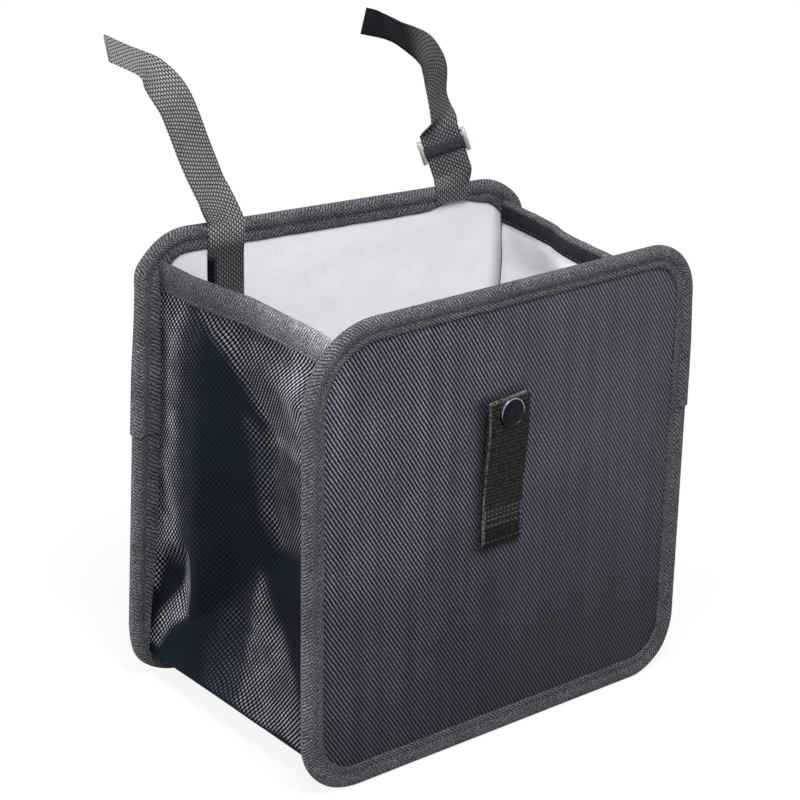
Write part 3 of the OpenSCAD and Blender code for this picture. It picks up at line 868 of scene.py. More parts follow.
@dataclass(frozen=True)
class BagSizes:
    """Sizes that the pieces share."""

    panel_w: float = 238.0
    panel_h: float = 235.0
    depth: float = 150.0
    bottom_r: float = 30.0
    top_r: float = 28.0
    tucked_r: float = 40.0
    back_turn: float = math.radians(2.4)
    back_lean: float = math.radians(2.6)
    back_fall: float = math.radians(1.9)
    board_t: float = 2.0
    cloth_t: float = 0.8
    lining_t: float = 0.4
    gap: float = 0.1
    tape_t: float = 0.9
    tape_leg: float = 10.5
    rim_leg: float = 13.0
    base_z: float = 14.0
    seam: float = 0.8

    @property
    def stack_to(self) -> float:
        """Depth of a panel's inner face under the tape."""
        return self.tape_t + self.gap + self.cloth_t + self.board_t + self.lining_t

    @property
    def panel_t(self) -> float:
        """Thickness of a bound panel."""
        return self.stack_to + self.gap + self.tape_t

    @property
    def seat_depth(self) -> float:
        """Depth at which the gussets meet a panel."""
        return self.panel_t + self.gap

    @property
    def edge_x(self) -> float:
        """Place of a gusset's seam along X."""
        return self.panel_w / 2 - self.tape_leg + self.seam

    @property
    def gusset_t(self) -> float:
        """Thickness of a gusset with its lining."""
        return self.cloth_t + self.gap + self.lining_t

    @staticmethod
    def above_corner(z: Field) -> Field:
        """Rises from 0 above the panels' lower corners to 1 near half of their height."""
        return smooth((z - 18.0) / 75.0)

    @staticmethod
    def hem(u: np.ndarray) -> np.ndarray:
        """Height of a gusset's lower edge above the base, at parts of its width from the back."""
        return 0.8 * np.sin(math.pi * u) + 1.6 * np.exp(-((u - 0.84) / 0.1) ** 2) * smooth((1.0 - u) / 0.08)

    def place(self, face: Face, x: Field, depth: Field, z: Field) -> np.ndarray:
        """Gives points of a panel.

        Args:
            face: The panel.
            x: Place across the panel.
            depth: Depth inward from its outer face.
            z: Height.

        Returns:
            The points, with x, y and z last.
        """
        x, depth, z = np.broadcast_arrays(np.asarray(x, float), np.asarray(depth, float), np.asarray(z, float))
        if face is Face.FRONT:
            return np.stack([x, -self.depth / 2 + depth, z], -1)
        c, s = math.cos(self.back_turn), math.sin(self.back_turn)
        return np.stack([x * c - depth * s, self.depth / 2 - x * s - depth * c, z], -1)

    def outline(self, face: Face) -> "Outline":
        """Returns a panel's rounded outline."""
        half, h = self.panel_w / 2, self.panel_h
        if face is Face.FRONT:
            corners = [(-half, 0.0), (half, 0.0), (half, h), (-half, h)]
            return Outline(corners, (self.bottom_r, self.bottom_r, self.top_r, self.tucked_r))
        lean, fall = h * math.tan(self.back_lean), half * math.tan(self.back_fall)
        corners = [(-half, 0.0), (half, 0.0), (half + lean, h - fall), (-half + lean, h + fall)]
        return Outline(corners, (self.bottom_r, self.bottom_r, self.top_r, self.top_r))


class Outline:
    """A closed outline with rounded corners, anticlockwise, that can be read at any length along it."""

    CORNER_STEPS = 60
    STEP = 2.0
    TIGHTEST = 28.0

    def __init__(self, corners: list[tuple[float, float]], radii: tuple[float, ...]) -> None:
        """Draws the outline.

        Args:
            corners: Corners of the shape, anticlockwise from the lower left.
            radii: Radius of each corner.
        """
        points, angles = [], []
        turn = 0.0
        for i, (q, r) in enumerate(zip(corners, radii)):
            p, q, s = np.array(corners[i - 1]), np.array(q), np.array(corners[(i + 1) % 4])
            n1, n2 = self._normal(p, q), self._normal(q, s)
            centre = q - r * (n1 + n2) / (1.0 + n1 @ n2)
            a1 = math.atan2(n1[1], n1[0])
            sweep = (math.atan2(n2[1], n2[0]) - a1) % math.tau
            if i == 0:
                turn = a1
            for k in range(self.CORNER_STEPS + 1):
                a = turn + sweep * k / self.CORNER_STEPS
                points.append(centre + r * np.array([math.cos(a), math.sin(a)]))
                angles.append(a)
            turn += sweep
        points.append(points[0])
        angles.append(angles[0] + math.tau)
        dense_p, dense_a = [], []
        for i in range(len(points) - 1):
            count = max(1, int(np.linalg.norm(points[i + 1] - points[i]) / self.STEP))
            for k in range(count):
                dense_p.append(mix(points[i], points[i + 1], k / count))
                dense_a.append(mix(angles[i], angles[i + 1], k / count))
        self.points = np.array(dense_p + points[-1:])
        self.angles = np.array(dense_a + angles[-1:])
        self.lengths = lengths_along(self.points)
        self.total = float(self.lengths[-1])

    @staticmethod
    def _normal(a: np.ndarray, b: np.ndarray) -> np.ndarray:
        """Outward normal of the edge from a to b."""
        d = b - a
        return np.array([d[1], -d[0]]) / np.linalg.norm(d)

    def at(self, length: np.ndarray) -> tuple[np.ndarray, np.ndarray, np.ndarray]:
        """Reads the outline.

        Args:
            length: Lengths along it; it repeats after the whole way round.

        Returns:
            Points, outward normals, and how strongly the outline turns there, from 0 to 1.
        """
        s = np.mod(length, self.total)
        point = np.stack([np.interp(s, self.lengths, self.points[:, k]) for k in (0, 1)], -1)
        angle, ahead, behind = (np.interp(np.mod(s + shift, self.total), self.lengths, self.angles)
                                for shift in (0.0, self.STEP, -self.STEP))
        turn = np.abs(np.mod(ahead - behind + math.pi, math.tau) - math.pi) / (2.0 * self.STEP)
        return point, np.stack([np.cos(angle), np.sin(angle)], -1), part01(turn * self.TIGHTEST)

    def length_near(self, x: float, z: float) -> float:
        """Length along the outline at the point nearest to a place."""
        return float(self.lengths[np.argmin(np.hypot(self.points[:, 0] - x, self.points[:, 1] - z))])


@dataclass(frozen=True)
class Bulge:
    """A place at a corner where the tape stands out over the panel's outline."""

    side: float
    slope: float
    reach: float
    amount: float


@dataclass(frozen=True)
class EdgeTape:
    """Tape folded over a panel's whole edge, its last end lapped over its first."""

    face: Face
    cut_at: tuple[float, float]
    forward: bool
    step: float = 1.1
    lap: float = 26.0
    lap_fade: float = 40.0
    lift: float = 0.75
    gather: float = 0.42
    pleat: float = 3.6
    lump: float = 0.16
    wander: float = 0.28
    corner_wander: float = 0.18
    grow: float = 0.2
    spread: float = 0.0
    top_leg: float = 10.5
    side_leg: float = 10.5
    drawn_up: float = 0.0
    drawn_at: float = 84.0
    bulges: tuple[Bulge, ...] = ()

    # Inset from the outline and depth, from the outer leg's free edge over its groove to the fold
    SECTION = ((10.5, 0.97), (10.5, 0.5), (10.3, 0.18), (9.6, 0.02), (8.6, 0.02), (7.8, 0.22), (7.2, 0.5),
               (6.7, 0.24), (6.0, -0.2), (4.9, -0.55), (3.6, -0.65), (2.4, -0.42), (1.35, 0.02), (0.6, 0.62),
               (0.16, 1.45), (0.0, 2.6))
    POCKET = ((1.2, 4.2), (0.96, 2.6), (1.2, 1.0))
    GROOVE = 6

    def section(self, sizes: BagSizes) -> tuple[np.ndarray, np.ndarray]:
        """Gives the section as insets and depths, and the way round it from the fold."""
        front = list(self.SECTION)
        back = [(i, sizes.panel_t - d) for i, d in front[-2::-1]]
        ring = np.array(front + back + [(9.5, sizes.panel_t - 0.93), *self.POCKET, (9.5, 0.93)])
        way = way_round(ring)
        return ring, way - way[len(front) - 1]

    def lengths(self, outline: Outline) -> tuple[np.ndarray, np.ndarray, np.ndarray]:
        """Gives each ring's length of tape, its place on the outline, and how far it is lifted."""
        total = outline.total + self.lap
        along = np.linspace(0.0, total, int(total / self.step))
        start = outline.length_near(*self.cut_at)
        where = start + along if self.forward else start - along
        return along, where, 1.0 - smooth((along - self.lap) / self.lap_fade)

    def legs(self, point: np.ndarray, normal: np.ndarray) -> np.ndarray:
        """Gives the width of the inner leg at each ring: wider at the left side, drawn up at the right strap."""
        at_side = part01(-normal[:, :1]) ** 2 * BagSizes.above_corner(point[:, 1:])
        at_strap = np.exp(-((point[:, :1] - self.drawn_at) / 13.0) ** 2) * smooth((point[:, 1:] - 200.0) / 20.0)
        return mix(self.top_leg, self.side_leg, at_side) - self.drawn_up * at_strap

    def stand_out(self, normal: np.ndarray) -> np.ndarray:
        """Gives how far the tape stands out over its outline at each ring."""
        x, z = normal[:, :1], normal[:, 1:]
        out = self.grow + self.spread * part01(np.maximum(x, -0.75 * z))
        for bulge in self.bulges:
            near = np.exp(-((z - bulge.slope) / bulge.reach) ** 2) * part01(3.0 * bulge.side * x + 0.3)
            out = out + bulge.amount * near
        return out

    def rings(self, sizes: BagSizes) -> tuple[np.ndarray, np.ndarray, np.ndarray]:
        """Builds the rings of the tape.

        Args:
            sizes: Sizes of the bag.

        Returns:
            The rings, the length of tape at each, and the way round the section.
        """
        outline = sizes.outline(self.face)
        section, around = self.section(sizes)
        along, where, lifted = self.lengths(outline)
        point, normal, bend = outline.at(where)
        line, bend = along[:, None], bend[:, None]
        inset, depth = (np.repeat(section[None, :, k], len(along), 0) for k in (0, 1))
        mid = sizes.panel_t / 2
        groove, free_edge = self.SECTION[self.GROOVE][0], self.SECTION[0][0]
        wide = groove + (inset - groove) * (self.legs(point, normal) - groove) / (free_edge - groove)
        inset = np.where((depth > mid) & (inset > groove), wide, inset)
        wave = np.sin(math.tau * line / self.pleat + 2.2 * ripple(line, 9.0, 3)[:, None] + 0.35 * inset)
        puff = self.gather * bend * smooth((inset - 1.5) / 3.5) * (0.55 + 0.45 * wave)
        lumps = self.lump * ripple(line, 8.0, 5)[:, None] * smooth(inset / 2.0) * smooth((6.8 - inset) / 1.5)
        outer = np.arange(len(section)) < 2 * len(self.SECTION) - 1
        depth = depth + outer * np.sign(depth - mid) * (puff + lumps)
        wander = self.wander * ripple(line, 11.0, 8)[:, None]
        wander = wander + self.corner_wander * ripple(line, 3.0, 9)[:, None] * bend
        inset = inset + wander * smooth((inset - 6.5) / 3.0)
        lifted = (self.lift * lifted)[:, None]
        depth = mid + (depth - mid) * (1.0 + lifted / mid)
        inset = inset - (lifted + self.stand_out(normal)) * (1.0 - smooth((inset - 4.0) / 7.0))
        flat = point[:, None] - inset[..., None] * normal[:, None]
        return sizes.place(self.face, flat[..., 0], depth, flat[..., 1]), along, around

    def seam_paths(self, sizes: BagSizes) -> list[np.ndarray]:
        """Paths of the two rows of stitches, in the grooves of both faces."""
        rings = self.rings(sizes)[0][3:-3]
        other = 2 * len(self.SECTION) - 2 - self.GROOVE
        out = 0.12 * (sizes.place(self.face, 0.0, -1.0, 0.0) - sizes.place(self.face, 0.0, 0.0, 0.0))
        return [rings[:, self.GROOVE] + out, rings[:, other] - out]


@dataclass(frozen=True)
class Panel:
    """A stiff panel: cloth outside, board inside, lining within, tape round the edge."""

    tape: EdgeTape
    hole: tuple[float, float]
    hole_r: float
    spokes: int = 260
    rings: int = 48

    def layer(self, sizes: BagSizes, outside: float, inside: float, wave: float, seed: float) -> Shell:
        """Makes one layer of the panel.

        Args:
            sizes: Sizes of the bag.
            outside: Depth of its outer face.
            inside: Depth of its inner face.
            wave: How far it waves away from the board; negative where that is outward.
            seed: Number of the wave's pattern.

        Returns:
            The layer as a shell.
        """
        face = self.tape.face
        outline = sizes.outline(face)
        where = np.linspace(0.0, outline.total, self.spokes, endpoint=False)
        point, normal, _ = outline.at(where)
        rim = point - (sizes.tape_t + sizes.gap) * normal
        centre = np.array(self.hole)
        share = (np.linspace(0.0, 1.0, self.rings) ** 0.9)[:, None, None]
        flat = mix(rim[None], (centre + unit(rim - centre) * self.hole_r)[None], share)
        inset = np.min(np.linalg.norm(flat[:, :, None] - point[None, None, ::4], axis=-1), axis=-1)
        soft = smooth((inset - sizes.tape_leg) / 14.0)
        bulge = wave * soft * (0.5 + 0.5 * ripple(flat, 46.0, seed) + 0.22 * ripple(flat, 17.0, seed + 1))
        outer, inner = (sizes.place(face, flat[..., 0], d + bulge, flat[..., 1]) for d in (outside, inside))
        return slab(outer, inner, np.concatenate([flat, flat[:, :1]], 1), wrap=True)

    def dress(self, sizes: BagSizes, finishes: Finishes) -> None:
        """Makes the panel's visible pieces."""
        face = self.tape.face.value
        depth = sizes.tape_t + sizes.gap
        cloth = self.layer(sizes, depth, depth + sizes.cloth_t, wave=-0.55, seed=1)
        lining = self.layer(sizes, sizes.stack_to - sizes.lining_t, sizes.stack_to, wave=0.7, seed=4)
        rings, along, around = self.tape.rings(sizes)
        cover = build(f"{face}_panel_cloth", [(cloth, finishes.twill)], "bag", (f"{face}_cover",))
        film = build(f"{face}_panel_lining", [(lining, finishes.lining)], "bag", (f"{face}_lining",))
        tape = build(f"{face}_edge_tape", [(tube(rings, along, around), finishes.tape)], "bag",
                     (f"{face}_binding",), TAPE_SHARP)
        flat = (sizes.panel_w * MM, sizes.panel_h * MM)
        area = min(self._area(sizes) * MM * MM, flat[0] * flat[1])

    def _area(self, sizes: BagSizes) -> float:
        """Area inside the panel's outline."""
        p = sizes.outline(self.tape.face).points
        return abs(0.5 * float(np.sum(p[:-1, 0] * p[1:, 1] - p[1:, 0] * p[:-1, 1])))


class FoldNet:
    """Folds of a gusset, drawn as a net of points and read as a smooth field of inward depth."""

    # Place along Y from front to back, height, and inward depth, as on the left gusset
    POINTS = ((74.3, 14, 0), (74.3, 45, 0), (74.3, 70, 0), (74.3, 110, 0), (74.3, 150, 0), (74.3, 185, 0),
              (74.3, 208, 0), (-69.7, 14, 0), (-69.7, 40, 0), (-69.7, 70, 0), (-69.7, 100, 0), (-69.7, 140, 0),
              (-69.7, 175, 0), (-69.7, 208, 0), (50, 208, -0.5), (22, 208, 1.5), (4.5, 211, 3.0), (-30, 208, 2.2),
              (52, 185, -2.2), (52, 150, -2.5), (52, 110, -2.5), (36, 192, -2.2), (35, 150, -3.0), (35, 95, -3.0),
              (37, 87, -3.4), (31, 73, -3.2), (33, 59, -2.2), (40, 46, -1.0), (65, 22, -0.3), (56, 62, 5.5),
              (61, 52, 3.0), (49, 78, 2.5), (47, 86, -1.5), (9, 192, 5.5), (1.5, 181, 7.5), (-10.5, 168, 9.0),
              (-17, 158, 10.0), (-13, 139, 11.0), (-12, 120, 12.0), (-19, 96, 13.5), (-33, 78, 9.0),
              (-51, 53, 4.0), (-60, 30, 1.0), (-66, 15, 0.0), (10, 70, 8.6), (22, 60, 4.5), (4, 52, 10.0),
              (-2, 36, 6.0), (12, 18, 2.5), (-20, 50, 7.0), (-25, 20, 1.5), (-55, 74, 8.5), (-62, 58, 4.5),
              (-45, 100, 9.0), (-42, 150, 5.0), (20, 130, 3.0), (16, 105, 4.5), (-55, 190, 0.6), (45, 14, 0),
              (12, 14, 0), (-25, 14, 0), (-50, 14, 0))
    # Creases that join points of the net
    CHAINS = (((35, 150), (35, 95), (37, 87), (31, 73), (33, 59), (40, 46), (65, 22)),
              ((61, 52), (56, 62), (49, 78)),
              ((9, 192), (1.5, 181), (-10.5, 168), (-17, 158), (-13, 139), (-12, 120), (-19, 96), (-33, 78),
               (-51, 53), (-60, 30), (-66, 15)),
              ((-19, 96), (10, 70), (22, 60), (40, 46)), ((4, 52), (-2, 36), (12, 18)))
    BACK_Y, FRONT_Y = 74.3, -69.7
    LOW, HIGH = 14.0, 208.0

    def __init__(self, cols: int, rows: int, soften: float) -> None:
        """Reads the net on a grid and softens its creases.

        Args:
            cols: Columns of the grid, from back to front.
            rows: Rows of the grid, from the base to below the rim's tape.
            soften: Reach of the softening in millimetres.
        """
        places = [point[:2] for point in self.POINTS]
        depth = [point[2] for point in self.POINTS]
        edges = [(places.index(a), places.index(b)) for chain in self.CHAINS for a, b in zip(chain, chain[1:])]
        verts, _, faces, origin, _, _ = delaunay_2d_cdt([Vector(p) for p in places], edges, [], 0, 1e-4)
        value = np.array([depth[o[0]] if o else 0.0 for o in origin])
        y = np.linspace(self.BACK_Y, self.FRONT_Y, cols)
        z = np.linspace(self.LOW, self.HIGH, rows)
        yy, zz = np.meshgrid(y, z)
        field = np.zeros_like(yy)
        for tri in faces:
            a, b, c = (np.array(verts[i]) for i in tri)
            area = (b[0] - a[0]) * (c[1] - a[1]) - (c[0] - a[0]) * (b[1] - a[1])
            if abs(area) < 1e-9:
                continue
            wb = ((yy - a[0]) * (c[1] - a[1]) - (c[0] - a[0]) * (zz - a[1])) / area
            wc = ((b[0] - a[0]) * (zz - a[1]) - (yy - a[0]) * (b[1] - a[1])) / area
            wa = 1.0 - wb - wc
            inside = (wa >= -1e-6) & (wb >= -1e-6) & (wc >= -1e-6)
            field[inside] = (wa * value[tri[0]] + wb * value[tri[1]] + wc * value[tri[2]])[inside]
        field = self._soften(field, soften / (z[1] - z[0]), 0)
        field = self._soften(field, soften / abs(y[1] - y[0]), 1)
        self.field, self.y, self.z = field, y, z

    @staticmethod
    def _soften(field: np.ndarray, reach: float, axis: int) -> np.ndarray:
        """Blurs a field along one axis, keeping its border."""
        count = int(reach * 3) + 1
        weights = np.exp(-0.5 * (np.arange(-count, count + 1) / reach) ** 2)
        weights /= weights.sum()
        border = [(count, count) if k == axis else (0, 0) for k in (0, 1)]
        odd = np.pad(field, border, "reflect", reflect_type="odd")
        return np.apply_along_axis(lambda line: np.convolve(line, weights, "valid"), axis, odd)

    def read(self, u: np.ndarray, z: np.ndarray) -> np.ndarray:
        """Gives the depth at parts of the gusset's width, from back to front, and at heights."""
        col = part01(u) * (len(self.y) - 1)
        row = part01((z - self.LOW) / (self.HIGH - self.LOW)) * (len(self.z) - 1)
        c0 = np.minimum(col.astype(int), len(self.y) - 2)
        r0 = np.minimum(row.astype(int), len(self.z) - 2)
        fc, fr = col - c0, row - r0
        f = self.field
        low = mix(f[r0, c0], f[r0, c0 + 1], fc)
        return mix(low, mix(f[r0 + 1, c0], f[r0 + 1, c0 + 1], fc), fr)


@dataclass(frozen=True)
class Gusset:
    """A folding side of soft cloth with its lining, and the tape over its upper edge."""

    side: Side
    net: FoldNet
    rim_drop: float
    rim_sag: float
    front_tuck: float
    back_tuck: float
    strength: float = 1.25
    seed: float = 1.0
    back_in: float = 3.4
    leg_share: float = 1.0
    off_grain: float = 0.325
    tuck_h: float = 20.0
    tuck_wrinkle: float = 1.1
    cols: int = 124
    rows: int = 168
    rim_rings: int = 132

    WIDTH = 144.0
    FLAT = (0.150, 0.212)
    RIM_FLAT = (TAPE_FLAT_W, 0.148)
    TACK_ROWS = (1.6, 4.6, 7.6, 10.6)

    # Faces between the folds painted lighter, as painted light: corners as place along Y and height, how much, and
    # reach of the border
    LIT_FACES = ((((47, 82), (41, 66), (40, 49), (56, 36), (66, 21), (76, 21), (67, 40), (55, 56), (52, 70)), 0.95, 5.0),
            (((80, 96), (66, 92), (67, 73), (71, 50), (80, 50)), 0.7, 5.0),
            (((-1, 85), (-11, 77), (-29, 62), (-46, 48), (-62, 22), (-64, 10), (-4, 10), (2, 45)), 0.42, 7.0),
            (((-3, 83), (-29, 60), (-46, 46), (-62, 22), (-64, 10), (26, 10), (20, 55)), 0.22, 20.0),
            (((41, 222), (41, 207), (33, 203), (22, 196), (16, 192), (7, 182), (-1, 173), (-9, 166), (-11, 157),
              (-50, 162), (-80, 168), (-80, 222)), 0.56, 7.0),
            (((-14, 222), (-44, 170), (-80, 175), (-80, 222)), 0.42, 24.0),
            (((-11, 160), (3, 164), (-1, 144), (-4, 116), (-15, 102), (-37, 108), (-80, 112), (-80, 172)),
             0.4, 12.0))

    # Section of the rim's outer leg: inward place and height, from its free edge to the fold
    RIM = ((-0.12, -13.0), (-0.75, -13.05), (-1.05, -12.5), (-1.1, -11.6), (-0.8, -10.9), (-1.15, -10.1),
           (-1.5, -8.0), (-1.6, -5.0), (-1.5, -2.2), (-1.15, -0.2), (-0.4, 0.85), (0.65, 1.15))
    GROOVE = 4

    def top(self, sizes: BagSizes, u: np.ndarray) -> np.ndarray:
        """Height of the rim at parts of the width."""
        return sizes.panel_h - self.rim_drop - self.rim_sag * u

    def at(self, sizes: BagSizes, u: np.ndarray, z: np.ndarray, inward: np.ndarray) -> np.ndarray:
        """Gives points of the gusset.

        Args:
            sizes: Sizes of the bag.
            u: Part of its width, 0 at the back panel and 1 at the front one.
            z: Height.
            inward: Distance in from its outer face.

        Returns:
            The points.
        """
        side = self.side.value
        band = self.top(sizes, u) - sizes.rim_leg - 2.0
        level = np.minimum(z, band)
        draw = smooth((z - (band - self.tuck_h)) / self.tuck_h)
        sewn_in = self.back_in * sizes.above_corner(z) * (1.0 - 0.3 * smooth((z - 150.0) / 50.0))
        seat = sizes.seat_depth - 0.25
        front = sizes.place(Face.FRONT, side * (sizes.edge_x - self.front_tuck * draw), seat, z)
        back = sizes.place(Face.BACK, side * (sizes.edge_x - self.back_tuck * draw - sewn_in)
                           + z * math.tan(sizes.back_lean), seat, z)
        place = mix(back, front, u[..., None])
        depth = self.strength * self.net.read(u, level) * smooth((level - 15.5) / 9.0) + self.wrinkles(u, level)
        place[..., 0] -= side * (depth + inward)
        return place

    def wrinkles(self, u: np.ndarray, z: np.ndarray) -> np.ndarray:
        """Gives the small unevenness of the cloth, none at its seams."""
        from_back, from_front = u * self.WIDTH, (1.0 - u) * self.WIDTH
        place = np.stack([from_back, z], -1)
        free = smooth(from_back / 12.0) * smooth(from_front / 12.0) * smooth((z - 15.0) / 10.0)
        slow = 0.7 * ripple(place, 38.0, self.seed) + 0.32 * ripple(place, 14.0, self.seed + 2)
        below = 206.0 - z
        away = np.hypot(from_front, below)
        rays = np.sin(6.5 * np.arctan2(below, from_front) + 0.8) * np.exp(-((away - 22.0) / 17.0) ** 2)
        return free * slow + self.tuck_wrinkle * rays * smooth(from_front / 8.0)

    def painted_light_at(self, sizes: BagSizes, u: np.ndarray, z: np.ndarray) -> np.ndarray:
        """Gives the painted light and shade on the weave: light beside the back seam and on faces between the
        folds, shade along the hem, with random unevenness.

        Args:
            sizes: Sizes of the bag.
            u: Part of the width at each point of the grid.
            z: Height at each point.

        Returns:
            Values from 0 to 1.
        """
        y = FoldNet.BACK_Y - u * self.WIDTH
        places = np.stack([y, z], -1)
        # painted light on the strip beside the back seam
        painted_light = (0.72 * smooth((y - 44.0) / 16.0) + 0.2 * smooth((y - 27.0) / 20.0)) * smooth((z - 64.0) / 18.0)
        for corners, amount, reach in self.LIT_FACES:
            painted_light = painted_light + amount * smooth(0.5 + depth_inside(places, np.array(corners, float)) / reach)
        # painted shade along the hem
        hem = smooth((z - sizes.base_z - sizes.hem(u) - 1.2) / 1.5)
        uneven = 0.82 + 0.36 * ripple(places, 13.0, self.seed + 9)
        return part01(painted_light * uneven) * hem

    def tack(self, sizes: BagSizes) -> list[np.ndarray]:
        """Paths of the short bars sewn across the rim's front end."""
        u = np.linspace(0.968, 0.992, 5)
        return [self.at(sizes, u, self.top(sizes, u) - drop, np.full(5, -1.75)) for drop in self.TACK_ROWS]

    def sheet(self, sizes: BagSizes, outside: float, inside: float) -> Shell:
        """Makes one layer of the gusset between two distances in from its outer face."""
        u, share = shares(self.rows, self.cols)[1], shares(self.rows - 2, self.cols)[0]
        low = sizes.base_z + sizes.hem(u)
        z = np.concatenate([np.full((1, self.cols), sizes.base_z), low[:1],
                            mix(low[2:] + 0.7, self.top(sizes, u[2:]), share)])
        turned_in = np.zeros_like(z)
        turned_in[0], turned_in[1] = 1.25, 0.3
        outer, inner = (self.at(sizes, u, z, layer + turned_in) for layer in (outside, inside))
        across, up = lengths_along(outer, 1), lengths_along(outer, 0)
        across -= across[:, self.cols // 2:self.cols // 2 + 1]
        across = mix(across, across.mean(axis=0, keepdims=True), 0.9)
        up = mix(up, up.mean(axis=1, keepdims=True), 0.9) - self.off_grain * u * self.WIDTH
        shell = slab(outer, inner, np.stack([across, up], -1))
        shell.painted_light = np.tile(self.painted_light_at(sizes, u, z).ravel(), 2)
        return shell

    def rim(self, sizes: BagSizes) -> tuple[Shell, list[np.ndarray]]:
        """Makes the tape over the upper edge, and the paths of its two rows of stitches."""
        half = sizes.gusset_t / 2
        outer = list(self.RIM)
        back = [(2 * half - i, d) for i, d in outer[-2::-1]]
        ring = np.array(outer + back + [(sizes.gusset_t + 0.12, -0.2), (-0.12, -0.2)])
        way = way_round(ring)
        way -= way[len(outer) - 1]
        u = shares(self.rim_rings, len(ring))[0]
        inward = np.repeat(ring[None, :, 0], self.rim_rings, 0)
        drop = np.repeat(ring[None, :, 1] * self.leg_share, self.rim_rings, 0)
        line = np.linspace(0.0, self.WIDTH, self.rim_rings)[:, None]
        lumps = 0.22 * ripple(line, 7.0, self.seed + 5)[:, None] + 0.12 * ripple(line, 2.6, self.seed + 6)[:, None]
        puffed = np.zeros(len(ring))
        puffed[3:2 * len(outer) - 4] = 1.0
        inward = inward + lumps * puffed * np.sign(inward - half)
        drop = drop + 0.25 * ripple(line, 9.0, self.seed + 7)[:, None] * smooth((-8.0 - drop) / 4.0)
        rings = self.at(sizes, u, self.top(sizes, u) + drop, inward)
        shell = tube(rings, lengths_along(rings[:, 0]), way * 0.8)
        shell.painted_light = self._rim_painted_light(len(ring)).ravel()
        out = self.side.value * np.array([0.15, 0.0, 0.0])
        other = 2 * len(outer) - 2 - self.GROOVE
        return shell, [rings[2:-2, self.GROOVE] + out, rings[2:-2, other] - out]

    def _rim_painted_light(self, corners: int) -> np.ndarray:
        """Gives the painted light on the rim's tape, brighter towards the front; the right one is dimmer, with
        painted shade on its inner leg.
        """
        along = shares(self.rim_rings, corners)[0]
        painted_light = mix(-0.1, 0.62, smooth((along - 0.3) / 0.65))
        if self.side is Side.RIGHT:
            painted_light *= 0.3
            # painted shade on the right rim's inner leg
            painted_light[:, len(self.RIM) + 2:] = -0.36
        return painted_light

    def dress(self, sizes: BagSizes, finishes: Finishes, film: bpy.types.Material) -> list[np.ndarray]:
        """Makes the gusset's visible pieces, and returns the paths of its stitches."""
        side = self.side.name.lower()
        cloth = build(f"{side}_gusset_cloth", [(self.sheet(sizes, 0.0, sizes.cloth_t), finishes.oxford)],
                      "bag", (f"{side}_gusset",))
        layer = self.sheet(sizes, sizes.cloth_t + sizes.gap, sizes.gusset_t)
        lining = build(f"{side}_gusset_lining", [(layer, film)], "bag", (f"{side}_lining",))
        shell, seams = self.rim(sizes)
        tape = build(f"{side}_rim_tape", [(shell, finishes.tape)], "bag", (f"{side}_rim",), TAPE_SHARP)
        return seams


@dataclass(frozen=True)
class Base:
    """The bag's bottom: cloth below and lining above a board."""

    crease_d: float = 13.0
    apex_z: float = 96.0
    steps: int = 40

    FLAT = (0.215, 0.140)

    def layer(self, sizes: BagSizes, z: float, height: float) -> Shell:
        """Makes one layer of the base between its heights."""
        lean_in = self.crease_d * (z + height - sizes.base_z) / (self.apex_z - sizes.base_z)
        half = sizes.edge_x - sizes.gusset_t - lean_in - sizes.gap
        left = -half + (z + height) * math.tan(sizes.back_lean)
        right = half + z * math.tan(sizes.back_lean)
        v, u = shares(self.steps, self.steps)
        front = sizes.place(Face.FRONT, mix(-half, half, u), sizes.seat_depth, z)
        back = sizes.place(Face.BACK, mix(left, right, u), sizes.seat_depth, z)
        bottom = mix(front, back, v[..., None])
        free = smooth(u * 10) * smooth((1 - u) * 10) * smooth(v * 8) * smooth((1 - v) * 8)
        bottom[..., 2] += 0.25 * free * (ripple(bottom, 30.0, z) + 0.4)
        top = bottom + np.array([0.0, 0.0, height])
        return slab(bottom, top, bottom[..., :2])

    def dress(self, sizes: BagSizes, finishes: Finishes) -> None:
        """Makes the base's visible pieces."""
        cover = build("base_cloth", [(self.layer(sizes, sizes.base_z, sizes.cloth_t), finishes.oxford)],
                      "bag", ("base_cover",))
        top = sizes.base_z + sizes.cloth_t + sizes.board_t
        film = build("base_film", [(self.layer(sizes, top, sizes.lining_t), finishes.side_lining_painted_bright)],
                     "bag", ("base_lining",))


